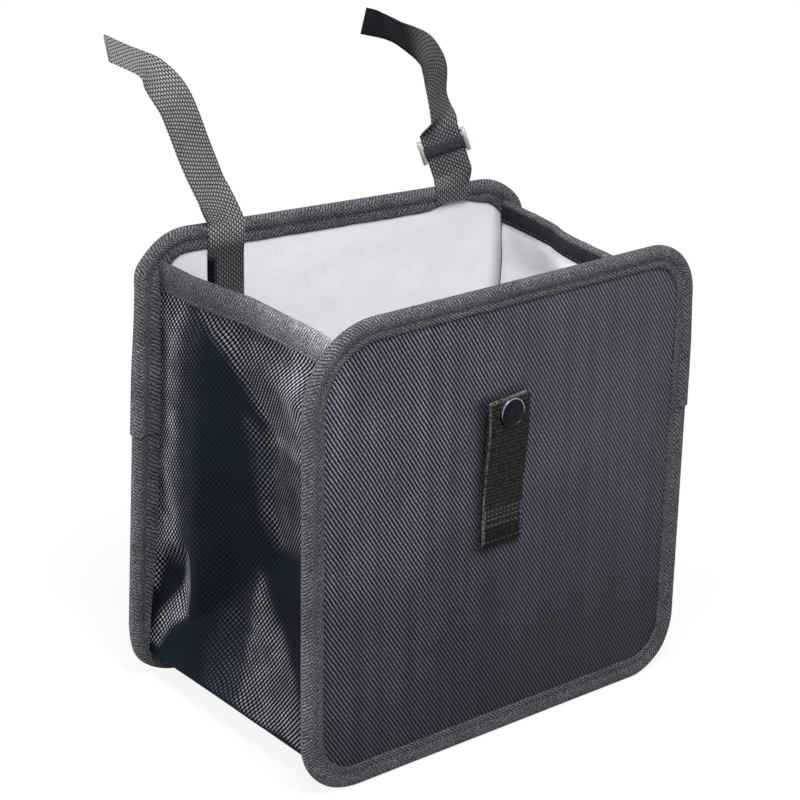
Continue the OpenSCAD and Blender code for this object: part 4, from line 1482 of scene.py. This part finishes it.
class StrapLine:
    """The line of a strap: middle points with the directions of its width and thickness."""

    @staticmethod
    def curve(stations: np.ndarray, steps: int) -> np.ndarray:
        """Sets more stations between the given ones by a smooth curve through them."""
        last = len(stations) - 1
        out = []
        for i in range(last):
            a, b = stations[max(i - 1, 0)], stations[i]
            c, d = stations[i + 1], stations[min(i + 2, last)]
            for k in range(steps):
                t = k / steps
                out.append(0.5 * (2 * b + (c - a) * t + (2 * a - 5 * b + 4 * c - d) * t ** 2
                                  + (3 * b - a - 3 * c + d) * t ** 3))
        return np.array(out + [stations[last]])

    @staticmethod
    def frames(stations: np.ndarray, steps: int = 8) -> np.ndarray:
        """Returns middle, width direction and thickness direction at each station."""
        s = StrapLine.curve(stations, steps)
        ahead = np.concatenate([s[1:, 0], s[-1:, 0]])
        behind = np.concatenate([s[:1, 0], s[:-1, 0]])
        along = unit(ahead - behind)
        across = unit(s[:, 1] - np.sum(s[:, 1] * along, -1, keepdims=True) * along)
        return np.stack([s[:, 0], across, np.cross(along, across)], 1)

    @staticmethod
    def evened(frames: np.ndarray, step: float) -> tuple[np.ndarray, np.ndarray]:
        """Reads frames at even steps, and gives the length at each."""
        way = lengths_along(frames[:, 0])
        along = np.linspace(0.0, way[-1], max(2, int(way[-1] / step)))
        read = np.stack([np.interp(along, way, frames[:, i, k]) for i in range(3) for k in range(3)], -1)
        read = read.reshape(-1, 3, 3)
        read[:, 1:] = unit(read[:, 1:])
        return read, along

    @staticmethod
    def skin(frames: np.ndarray, along: np.ndarray, width: np.ndarray, thick: float, cup: np.ndarray) -> Shell:
        """Wraps webbing round a line.

        Args:
            frames: Middle, width and thickness directions.
            along: Length at each frame.
            width: Width at each frame.
            thick: Thickness.
            cup: How far the middle of the webbing stands out at each frame.

        Returns:
            The webbing as a shell.
        """
        edge = 1.028
        face = np.stack([np.linspace(-1.0, 1.0, 15), np.ones(15)], -1)
        face[[0, -1], 1] = 0.8
        ring = np.concatenate([face, [(edge, 0.4), (edge, -0.4)], face[::-1] * (1.0, -1.0),
                               [(-edge, -0.4), (-edge, 0.4)]])
        ring[:, 0] /= edge
        aside = width[:, None] / 2 * ring[None, :, 0]
        out = thick / 2 * ring[None, :, 1] + cup[:, None] * (1.0 - ring[None, :, 0] ** 2)
        points = frames[:, None, 0] + aside[..., None] * frames[:, None, 1] + out[..., None] * frames[:, None, 2]
        return tube(points, along, way_round(ring * (width[0] / 2, thick / 2)))


@dataclass(frozen=True)
class Straps:
    """The two webbing straps behind the bag."""

    width: float = 21.0
    thick: float = 1.4
    left_x: float = 60.0
    left_z: float = 150.0
    left_sewn: float = 58.0
    right_x: float = 80.0
    right_sewn: float = 7.4
    right_bend: float = 4.0
    slider_turn: float = math.radians(31.0)
    slider_rise: float = math.radians(19.0)
    straight_down: float = 16.0
    straight_up: float = 9.0
    seam_at: float = 9.0
    seam_lift: float = 0.78

    SLIDER_FROM_ROOT = (-3.0, 4.5, 22.5)
    LEFT_ROWS = (3.0, 8.0)
    RIGHT_ROWS = (1.2, 4.6)

    # Stations of the free ends, from the left strap's root and from the slider: place, direction of the width
    LEFT_FREE = (((-10, -1.5, 20), (0.9, 0.25, 0.4)), ((-20.5, -4.5, 40), (0.9, 0.15, 0.5)),
                 ((-30, -7.5, 60), (0.9, 0.15, 0.5)), ((-36, -9.5, 70.5), (0.8, 0.2, 0.5)),
                 ((-41.5, -9.5, 78), (0.8, 0.3, 0.5)), ((-47, -8.5, 84.5), (0.7, 0.5, 0.5)),
                 ((-52, -7.5, 89.5), (0.5, 0.8, 0.4)), ((-58, -5.5, 93), (0.5, 0.8, 0.3)),
                 ((-67.9, -3.2, 98.4), (0.392, 0.842, 0.367)))
    RIGHT_FREE = (((-0.5, 2, 16.5), (0.93, 0.36, 0.2)), ((-3, 2, 25), (0.88, 0.45, 0.2)),
                  ((-5.5, 1, 38), (0.9, 0.3, 0.3)), ((-9, 0, 45.5), (0.8, 0.35, 0.55)),
                  ((-14, -1, 52), (0.6, 0.45, 0.66)), ((-21, -2, 57), (0.3, 0.62, 0.75)),
                  ((-29, -3, 61.5), (0.2, 0.72, 0.64)), ((-44, -5, 70), (0.35, 0.8, 0.45)),
                  ((-53, 1.4, 73), (0.636, 0.652, 0.414)))

    def seat(self, sizes: BagSizes, x: float, depth: float, z: float) -> np.ndarray:
        """Station of a strap where it lies on the back panel."""
        place = sizes.place(Face.BACK, x, depth + self.thick / 2, z)
        return np.stack([place, [math.cos(sizes.back_turn), -math.sin(sizes.back_turn), 0.0]])

    def slider_axes(self) -> np.ndarray:
        """Directions of the slider: along the strap's width, its thickness and its length."""
        cr, sr = math.cos(self.slider_rise), math.sin(self.slider_rise)
        ct, st = math.cos(self.slider_turn), math.sin(self.slider_turn)
        w, t = np.array([cr * ct, -cr * st, sr]), np.array([-sr * ct, sr * st, cr])
        return np.stack([w, np.cross(t, w), t])

    def slider_at(self, sizes: BagSizes) -> np.ndarray:
        """Middle of the slider."""
        return self.root(sizes, self.right_x) + np.array(self.SLIDER_FROM_ROOT)

    def root(self, sizes: BagSizes, x: float) -> np.ndarray:
        """Middle of a strap where it passes the back panel's upper edge."""
        return sizes.place(Face.BACK, x, sizes.seat_depth + self.thick / 2, self.top_z(sizes, x))

    @staticmethod
    def top_z(sizes: BagSizes, x: float) -> float:
        """Height of the back panel's upper edge."""
        return sizes.panel_h - x * math.tan(sizes.back_fall)

    def left(self, sizes: BagSizes) -> tuple[np.ndarray, np.ndarray]:
        """Frames and lengths of the left strap."""
        x, top = -self.left_x, self.top_z(sizes, -self.left_x)
        under = sizes.stack_to + sizes.gap
        seats = ((under, self.left_z), (under, top - 2 * sizes.tape_leg),
                 (sizes.seat_depth, top - sizes.tape_leg), (sizes.seat_depth, top + self.thick))
        sewn = np.stack([self.seat(sizes, x, depth, z) for depth, z in seats])
        free = np.array(self.LEFT_FREE, float)
        free[:, 0] += self.root(sizes, x)
        frames = np.concatenate([StrapLine.frames(sewn), StrapLine.frames(free)])
        return StrapLine.evened(frames, 1.6)

    def right(self, sizes: BagSizes) -> tuple[np.ndarray, np.ndarray]:
        """Frames and lengths of the right strap."""
        x, top = self.right_x, self.top_z(sizes, self.right_x)
        sewn = np.stack([self.seat(sizes, x, sizes.seat_depth, top + z)
                         for z in (-self.right_sewn, -self.right_bend, self.thick)])
        middle, (w, n, t) = self.slider_at(sizes), self.slider_axes()
        through = np.stack([np.stack([middle + d * t, w, n]) for d in (-self.straight_down, self.straight_up)])
        free = np.array(self.RIGHT_FREE, float)
        free[:, 0] += middle
        frames = np.concatenate([StrapLine.frames(sewn), through, StrapLine.frames(free)])
        return StrapLine.evened(frames, 1.2)

    def dress(self, sizes: BagSizes, finishes: Finishes) -> None:
        """Makes both straps."""
        for side, (frames, along), seed, cupped_from in (("left", self.left(sizes), 2.0, 90.0),
                                                         ("right", self.right(sizes), 6.0, 60.0)):
            width = self.width * (1.0 + 0.012 * ripple(along[:, None], 22.0, seed))
            cup = 0.35 * ripple(along[:, None], 30.0, seed + 1) * smooth((along - cupped_from) / 20.0)
            shell = StrapLine.skin(frames, along, width, self.thick, cup)
            painted_light_at = self._left_painted_light if side == "left" else self._right_painted_light
            shell.painted_light = painted_light_at(frames, along, shell.points.reshape(len(along), -1, 3)).ravel()
            strap = build(f"{side}_strap_webbing", [(shell, finishes.webbing)], "bag", (f"{side}_strap",),
                          60.0)

    def _left_painted_light(self, frames: np.ndarray, along: np.ndarray, rings: np.ndarray) -> np.ndarray:
        """Gives the left strap's painted light: painted shade inside the bag, and a painted shadow along one edge
        there.
        """
        height = frames[:, :1, 2]
        # painted shade on the part inside the bag
        painted_light = mix(0.29, 1.0, smooth((height - 222.0) / 14.0))
        painted_light = part01(painted_light * (1.0 - 0.2 * ripple(along[:, None], 25.0, 9.0)[:, None]))
        aside = np.sum((rings - frames[:, None, 0]) * frames[:, None, 1], -1) / (self.width / 2)
        # painted shadow along the strap's left edge inside the bag
        edge_shadow = 1.0 - smooth((height - 219.0) / 4.0)
        return painted_light * (1.0 - 0.97 * edge_shadow * smooth((-0.5 - aside) / 0.14))

    def _right_painted_light(self, frames: np.ndarray, along: np.ndarray, rings: np.ndarray) -> np.ndarray:
        """Gives the right strap's painted light: dimmer than the left one, with painted shade at its loose end."""
        painted_light = mix(0.47, 0.42, smooth((along - 55.0) / 10.0))
        # painted shade at the loose end
        painted_light = part01(painted_light * (1.0 - 0.97 * smooth((along - along[-1] + 50.0) / 24.0)))
        return np.repeat(painted_light[:, None], rings.shape[1], 1)

    def _row(self, frames: np.ndarray, along: np.ndarray, at: float) -> np.ndarray:
        """Path of a row of stitches across a strap, at a length along it."""
        middle, across, out = frames[int(np.argmin(np.abs(along - at)))]
        return middle + np.linspace(-self.seam_at, self.seam_at, 8)[:, None] * across + self.seam_lift * out

    def seams(self, sizes: BagSizes) -> list[np.ndarray]:
        """Paths of the stitches that hold the straps on the back panel."""
        frames, along = self.left(sizes)
        rows = [self._row(frames, along, at) for at in self.LEFT_ROWS]
        sewn = frames[(along > self.LEFT_ROWS[0]) & (along < self.left_sewn)]
        sides = [sewn[:, 0] + offset * sewn[:, 1] + self.seam_lift * sewn[:, 2]
                 for offset in (-self.seam_at, self.seam_at)]
        frames, along = self.right(sizes)
        return rows + sides + [self._row(frames, along, at) for at in self.RIGHT_ROWS]


@dataclass(frozen=True)
class Slider:
    """Three-bar slider on the right strap."""

    height: float = 12.0
    rail_w: float = 2.4
    bar_t: float = 1.6
    middle_bar_h: float = 5.6
    outer_bar_h: float = 2.2
    gap: float = 0.3

    def dress(self, sizes: BagSizes, straps: Straps, finishes: Finishes) -> None:
        """Makes the slider with its two rails and three bars."""
        middle, axes = straps.slider_at(sizes), straps.slider_axes()
        inside = straps.width + 2 * self.gap
        bar_y = straps.thick / 2 + self.gap
        rail_y = bar_y + self.bar_t

        def bar(x: float, y: float, z: float, half: tuple[float, float, float], edge: float) -> Shell:
            """One bar at its place in the slider."""
            return rounded_bar(middle + np.array([x, y, z]) @ axes, axes, half, edge)

        rail = (self.rail_w / 2, rail_y, self.height / 2)
        long, y = inside / 2 + self.rail_w / 4, bar_y + self.bar_t / 2
        middle_bar, outer_bar = ((long, self.bar_t / 2, h / 2) for h in (self.middle_bar_h, self.outer_bar_h))
        parts = [(bar(side * (inside + self.rail_w) / 2, 0.0, 0.0, rail, 0.35), finishes.nickel)
                 for side in (-1, 1)]
        parts.append((bar(0.0, -y, 0.0, middle_bar, 0.5), finishes.bar))
        parts += [(bar(0.0, y, side * (self.height - self.outer_bar_h) / 2, outer_bar, 0.5), finishes.nickel)
                  for side in (-1, 1)]
        build("strap_slider", parts, "slider", ("slider",), 30.0)


@dataclass(frozen=True)
class SnapTab:
    """Front tab of doubled webbing, sewn below and snapped above."""

    width: float = 25.0
    layer_t: float = 1.1
    low: float = 105.0
    length: float = 76.0
    sewn: float = 20.0
    x: float = -3.0
    snap_inset: float = 9.0
    snap_right: float = 1.2
    cap_d: float = 14.6
    cap_h: float = 1.8
    socket_d: float = 10.5
    snap_h: float = 3.2

    ROWS = (17.6, 15.4, 13.1, 9.9, 1.6)

    def lift(self, sizes: BagSizes, s: np.ndarray) -> np.ndarray:
        """Height of the tab's back face in front of the cloth, at a distance above its lower end."""
        rise = self.length - self.sewn - self.snap_inset - self.socket_d / 2
        return sizes.gap + (self.snap_h - sizes.gap) * smooth((s - self.sewn) / rise)

    def cloth_y(self, sizes: BagSizes) -> float:
        """Place of the front cloth's face."""
        return -sizes.depth / 2 + sizes.tape_t + sizes.gap

    def path(self, sizes: BagSizes) -> np.ndarray:
        """Stations of the webbing: up behind, over the top, and down in front."""
        cloth, fold_at = self.cloth_y(sizes), self.length - 1.2
        up = np.linspace(-1.5, fold_at, 60)
        back = np.stack([self.x - 1.0 + smooth((up - 20.0) / 30.0), cloth - self.lift(sizes, up) - 0.6,
                         self.low + up], -1)
        turn = np.linspace(0.0, math.pi, 9)[1:-1]
        fold = np.stack([np.full(7, self.x), cloth - self.snap_h - 1.2 + 0.6 * np.cos(turn),
                         self.low + fold_at + 0.65 * np.sin(turn)], -1)
        down = np.linspace(fold_at, 0.0, 70)
        pressed = np.exp(-((down[:, None] - np.array(self.ROWS)) / 0.6) ** 2).sum(1)
        swell = 0.35 * smooth((23.0 - down) / 3.0) - 0.55 * pressed
        front = np.stack([np.full(70, self.x), cloth - self.lift(sizes, down) - 1.8 - swell, self.low + down], -1)
        return np.concatenate([back, fold, front])

    def dress(self, sizes: BagSizes, finishes: Finishes) -> None:
        """Makes the tab and the snap's cap."""
        path = self.path(sizes)
        along = unit(np.gradient(path, axis=0))
        tilt = 0.075 * smooth((path[:, 2] - (self.low + self.length - 12.0)) / 10.0)
        across = np.stack([np.ones(len(path)), np.zeros(len(path)), tilt], -1)
        frames = np.stack([path, across, unit(np.cross(along, across))], 1)
        frames, length = StrapLine.evened(frames, 0.7)
        width = self.width * (1.0 + 0.01 * ripple(length[:, None], 9.0, 4.0))
        shell = StrapLine.skin(frames, length, width, self.layer_t, np.zeros(len(length)))
        tab = build("front_tab_webbing", [(shell, finishes.tab)], "bag", ("tab",), 60.0)
        middle = (self.x + self.snap_right - 0.6, self.cloth_y(sizes) - self.snap_h - 2.4 - sizes.gap,
                  self.low + self.length - self.snap_inset + 1.2)
        r, h = self.cap_d / 2, self.cap_h
        cap = turned([(0, -h + 0.55), (0.7, -h + 0.52), (1.15, -h + 0.3), (1.6, -h + 0.05), (2.2, -h),
                      (4.6, -h + 0.02), (r - 1.6, -h + 0.16), (r - 1.05, -h + 0.34), (r - 0.75, -0.75 * h),
                      (r - 0.7, -0.4 * h), (r - 0.7, -0.1), (1.3, -0.1), (1.3, 2.6), (0, 2.6)], middle)
        lip = turned([(0, -0.2), (r - 0.8, -0.2), (r - 0.72, -0.72 * h), (r - 0.5, -0.84 * h),
                      (r - 0.22, -0.72 * h), (r - 0.06, -0.4 * h), (r, -0.1), (r - 0.2, 0), (0, 0)], middle)
        build("snap_cap_enamelled", [(cap, finishes.enamel), (lip, finishes.ring)], "bag", ("snap_cap",),
              35.0)

    def seams(self, sizes: BagSizes) -> list[np.ndarray]:
        """Paths of the rows of stitches across the tab's sewn end, and down its sides."""
        paths, side_x = [], 11.3
        for s in self.ROWS:
            y = self.cloth_y(sizes) - float(self.lift(sizes, np.array(s))) - 2.25
            x = self.x + np.linspace(-side_x, side_x, 12)
            paths.append(np.stack([x, np.full(12, y), np.full(12, self.low + s)], -1))
        z = np.linspace(2.2, 17.4, 9)
        y = self.cloth_y(sizes) - self.lift(sizes, z) - 2.72
        return paths + [np.stack([np.full(9, self.x + side * side_x), y, self.low + z], -1) for side in (-1, 1)]


class StitchTree(Nodes):
    """Geometry Nodes that lay stitches end to end along paths."""

    INPUTS = (("Spacing", "NodeSocketFloat"), ("Length", "NodeSocketFloat"), ("Radius", "NodeSocketFloat"),
              ("Unevenness", "NodeSocketFloat"), ("Seed", "NodeSocketInt"), ("Thread", "NodeSocketMaterial"))
    UNEVENNESS = 0.08

    def __init__(self) -> None:
        """Builds the tree."""
        super().__init__(bpy.data.node_groups.new("stitches", "GeometryNodeTree"))
        face = self.tree.interface
        face.new_socket("Geometry", in_out="INPUT", socket_type="NodeSocketGeometry")
        self.keys = {name: face.new_socket(name, in_out="INPUT", socket_type=kind).identifier
                     for name, kind in self.INPUTS}
        face.new_socket("Geometry", in_out="OUTPUT", socket_type="NodeSocketGeometry")
        given = self.add("NodeGroupInput").outputs
        curve = self.add("GeometryNodeMeshToCurve", {0: given["Geometry"]})
        spaced = self.add("GeometryNodeResampleCurve", {"Curve": curve.outputs[0], "Length": given["Spacing"]},
                          mode="LENGTH")
        tangent = self.add("GeometryNodeInputTangent")
        turn = self.add("FunctionNodeAlignRotationToVector", {"Vector": tangent.outputs[0]}, axis="X")
        half = self.math("MULTIPLY", given["Length"], 0.5)
        size = self.add("ShaderNodeCombineXYZ", {0: half, 1: given["Radius"], 2: given["Radius"]})
        ball = self.add("GeometryNodeMeshUVSphere", {"Segments": 6, "Rings": 5, "Radius": 1.0})
        stitch = self.add("GeometryNodeTransform", {"Geometry": ball.outputs[0], "Scale": size.outputs[0]})
        low = self.math("SUBTRACT", 1.0, given["Unevenness"])
        high = self.math("ADD", 1.0, given["Unevenness"])
        scale = self.add("FunctionNodeRandomValue", {2: low, 3: high, "Seed": given["Seed"]}, data_type="FLOAT")
        laid = self.add("GeometryNodeInstanceOnPoints",
                        {"Points": spaced.outputs[0], "Instance": stitch.outputs[0], "Rotation": turn.outputs[0],
                         "Scale": scale.outputs[1]})
        real = self.add("GeometryNodeRealizeInstances", {0: laid.outputs[0]})
        soft = self.add("GeometryNodeSetShadeSmooth", {0: real.outputs[0]})
        dyed = self.add("GeometryNodeSetMaterial", {0: soft.outputs[0], "Material": given["Thread"]})
        self.add("NodeGroupOutput", {0: dyed.outputs[0]})

    def sew(self, name: str, paths: list[np.ndarray], thread: bpy.types.Material, slot: str,
            spacing: float = 3.4, length: float = 2.7, radius: float = 0.24, seed: int = 7) -> bpy.types.Object:
        """Lays stitches on paths and turns them into a plain mesh.

        Args:
            name: Name of the piece.
            paths: Paths in millimetres.
            thread: Material of the thread.
            slot: Not used.
            spacing: Distance between stitches.
            length: Length of a stitch.
            radius: Radius of the thread.
            seed: Seed of their unevenness.

        Returns:
            The stitches on the bag.
        """
        points, edges = [], []
        for path in paths:
            start = len(points)
            points += (path * MM).tolist()
            edges += [(start + i, start + i + 1) for i in range(len(path) - 1)]
        mesh = bpy.data.meshes.new(name + "_path")
        mesh.from_pydata(points, edges, [])
        piece = bpy.data.objects.new(name, mesh)
        bpy.context.scene.collection.objects.link(piece)
        modifier = piece.modifiers.new("stitches", "NODES")
        modifier.node_group = self.tree
        values = {"Spacing": spacing * MM, "Length": length * MM, "Radius": radius * MM,
                  "Unevenness": self.UNEVENNESS, "Seed": seed, "Thread": thread}
        for key, value in values.items():
            modifier[self.keys[key]] = value
        graph = bpy.context.evaluated_depsgraph_get()
        plain = bpy.data.meshes.new_from_object(piece.evaluated_get(graph), depsgraph=graph)
        piece.modifiers.clear()
        piece.data = plain
        plain.name = name
        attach(piece, "bag")
        LOG.info("%s: %d faces", name, len(plain.polygons))
        return piece


@dataclass(frozen=True)
class Studio:
    """Floor, light and camera."""

    camera_at: tuple[float, float, float] = (-0.70981, -0.87411, 0.60449)
    right: tuple[float, float, float] = (0.78308, -0.62169, 0.01722)
    up: tuple[float, float, float] = (0.2191, 0.30168, 0.92789)
    forward: tuple[float, float, float] = (0.58206, 0.72284, -0.37245)
    lens: float = 109.46
    sensor: float = 36.0
    near: float = 0.01
    world: float = 0.3
    key: float = 30.0
    key_from: tuple[float, float, float] = (-1.6, 1.1, 0.8)
    key_to: tuple[float, float, float] = (-0.1, 0.0, 0.12)
    key_size: float = 0.7
    top: float = 19.0
    top_from: tuple[float, float, float] = (-0.25, -0.62, 1.18)
    top_to: tuple[float, float, float] = (0.0, 0.0, 0.12)
    top_size: float = 0.6
    floor_z: float = -0.0014
    floor_half: float = 4.0
    floor_glow: Ramp = (0.16, 0.34, 0.86, 1.0)

    WHITE = (1.0, 1.0, 1.0, 1.0)

    def set_up(self) -> None:
        """Makes the camera, the lamps, the world and the floor."""
        scene = bpy.context.scene
        lens = bpy.data.cameras.new("camera")
        lens.lens, lens.sensor_width, lens.clip_start = self.lens, self.sensor, self.near
        scene.camera = self._place("camera", lens)
        turn = Matrix((self.right, self.up, tuple(-c for c in self.forward))).transposed().to_4x4()
        scene.camera.matrix_world = Matrix.Translation(self.camera_at) @ turn
        scene.view_settings.view_transform = "Standard"
        scene.world = self._world()
        self._lamp("key", self.key_from, self.key_to, self.key, self.key_size)
        self._lamp("top", self.top_from, self.top_to, self.top, self.top_size)
        self._floor()

    @staticmethod
    def _place(name: str, data: bpy.types.ID) -> bpy.types.Object:
        """Puts a camera, a lamp or a mesh into the scene."""
        thing = bpy.data.objects.new(name, data)
        bpy.context.scene.collection.objects.link(thing)
        return thing

    def _lamp(self, name: str, place: tuple, target: tuple, power: float, size: float) -> None:
        """Hangs a square lamp that faces a target."""
        lamp = bpy.data.lights.new(name, "AREA")
        lamp.energy, lamp.size = power, size
        thing = self._place(name, lamp)
        thing.location = place
        thing.rotation_euler = (Vector(target) - Vector(place)).to_track_quat("-Z", "Y").to_euler()

    def _world(self) -> bpy.types.World:
        """Lights the scene all round; the camera and gloss see plain white."""
        world = bpy.data.worlds.new("studio")
        world.use_nodes = True
        g = Nodes(world.node_tree)
        light = g.add("ShaderNodeBackground", {0: self.WHITE, 1: self.world})
        white = g.add("ShaderNodeBackground", {0: self.WHITE})
        both = g.add("ShaderNodeMixShader", {0: g.seen(), 1: light.outputs[0], 2: white.outputs[0]})
        g.add("ShaderNodeOutputWorld", {0: both.outputs[0]})
        return world

    def _floor(self) -> None:
        """Lays the pale floor, which shows white but keeps the bag's shadow."""
        g = Graph("floor")
        place = g.add("ShaderNodeTexCoord").outputs["Object"]
        away = g.add("ShaderNodeVectorMath", {0: place}, operation="LENGTH").outputs["Value"]
        matte = g.add("ShaderNodeBsdfDiffuse", {"Color": (0.55, 0.55, 0.55, 1.0)})
        pale = g.add("ShaderNodeBsdfDiffuse", {"Color": (0.95, 0.95, 0.95, 1.0)})
        glow = g.add("ShaderNodeEmission", {"Color": self.WHITE, "Strength": 1.0})
        shown = g.add("ShaderNodeMixShader", {0: g.span(away, *self.floor_glow), 1: pale.outputs[0],
                                              2: glow.outputs[0]})
        both = g.add("ShaderNodeMixShader", {0: g.seen(), 1: matte.outputs[0], 2: shown.outputs[0]})
        g.add("ShaderNodeOutputMaterial", {"Surface": both.outputs[0]})
        mesh, s = bpy.data.meshes.new("floor"), self.floor_half
        mesh.from_pydata([(-s, -s, 0), (s, -s, 0), (s, s, 0), (-s, s, 0)], [], [(0, 1, 2, 3)])
        mesh.materials.append(g.material)
        floor = self._place("floor", mesh)
        floor.location.z = self.floor_z


def paint_hidden_parts(finishes: Finishes) -> None:
    """Gives the boards and the snap's metal parts, whose shapes stay as they are, their finishes."""
    looks = {finishes.board: ("front_board", "back_board", "base_board"),
             finishes.nickel: ("snap_socket", "snap_stud", "snap_rivet")}
    for material, nodes in looks.items():
        for node in nodes:
            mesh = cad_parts[node].data
            mesh.materials.clear()
            mesh.materials.append(material)
            LOG.info("%s: dressed in %s", node, material.name)


def main() -> None:
    """Builds the bag and the studio."""
    logging.basicConfig(level=logging.INFO, format="%(name)s %(message)s")
    sizes, finishes = BagSizes(), Finishes.mix_all()
    Studio().set_up()
    snap = SnapTab()
    rivet = (snap.x + snap.snap_right, snap.low + snap.length - snap.snap_inset)
    front_tape = EdgeTape(Face.FRONT, cut_at=(119.0, 147.0), forward=True, spread=1.0,
                          bulges=(Bulge(side=1.0, slope=-0.75, reach=0.35, amount=1.2),))
    back_tape = EdgeTape(Face.BACK, cut_at=(-113.0, 136.0), forward=False, grow=0.75, top_leg=11.8,
                         side_leg=14.4, drawn_up=3.9,
                         bulges=(Bulge(side=-1.0, slope=0.36, reach=0.22, amount=1.4),
                                 Bulge(side=-1.0, slope=-0.6, reach=0.3, amount=1.9),
                                 Bulge(side=1.0, slope=0.4, reach=0.3, amount=1.7)))
    seams, rim_seams, tacks = [], [], []
    for panel in (Panel(front_tape, hole=rivet, hole_r=1.5), Panel(back_tape, hole=(3.0, 118.0), hole_r=0.4)):
        panel.dress(sizes, finishes)
        seams += panel.tape.seam_paths(sizes)
    net = FoldNet(cols=145, rows=196, soften=1.8)
    left = Gusset(Side.LEFT, net, rim_drop=12.0, rim_sag=0.0, front_tuck=13.0, back_tuck=0.0)
    right = Gusset(Side.RIGHT, net, rim_drop=16.6, rim_sag=2.9, front_tuck=6.0, back_tuck=1.6, strength=0.95,
                   seed=21.0, back_in=0.8, leg_share=0.846)
    for gusset, film in ((left, finishes.lining), (right, finishes.side_lining_painted_bright)):
        rim_seams += gusset.dress(sizes, finishes, film)
        tacks += gusset.tack(sizes)
    Base().dress(sizes, finishes)
    straps = Straps()
    straps.dress(sizes, finishes)
    Slider().dress(sizes, straps, finishes)
    snap.dress(sizes, finishes)
    needle = StitchTree()
    needle.sew("edge_tape_stitches", seams, finishes.thread, "edge_tape")
    needle.sew("rim_tape_stitches", rim_seams, finishes.thread, "edge_tape", seed=11)
    needle.sew("strap_stitches", straps.seams(sizes), finishes.thread, "webbing",
               spacing=2.6, length=2.1, radius=0.26, seed=13)
    needle.sew("tab_stitches", snap.seams(sizes), finishes.pale_thread, "tab_webbing",
               spacing=2.3, length=2.2, radius=0.3, seed=17)
    needle.sew("rim_bar_tacks", tacks, finishes.thread, "edge_tape", spacing=0.8, length=1.2, radius=0.34, seed=19)
    paint_hidden_parts(finishes)


if __name__ == "__main__":
    main()
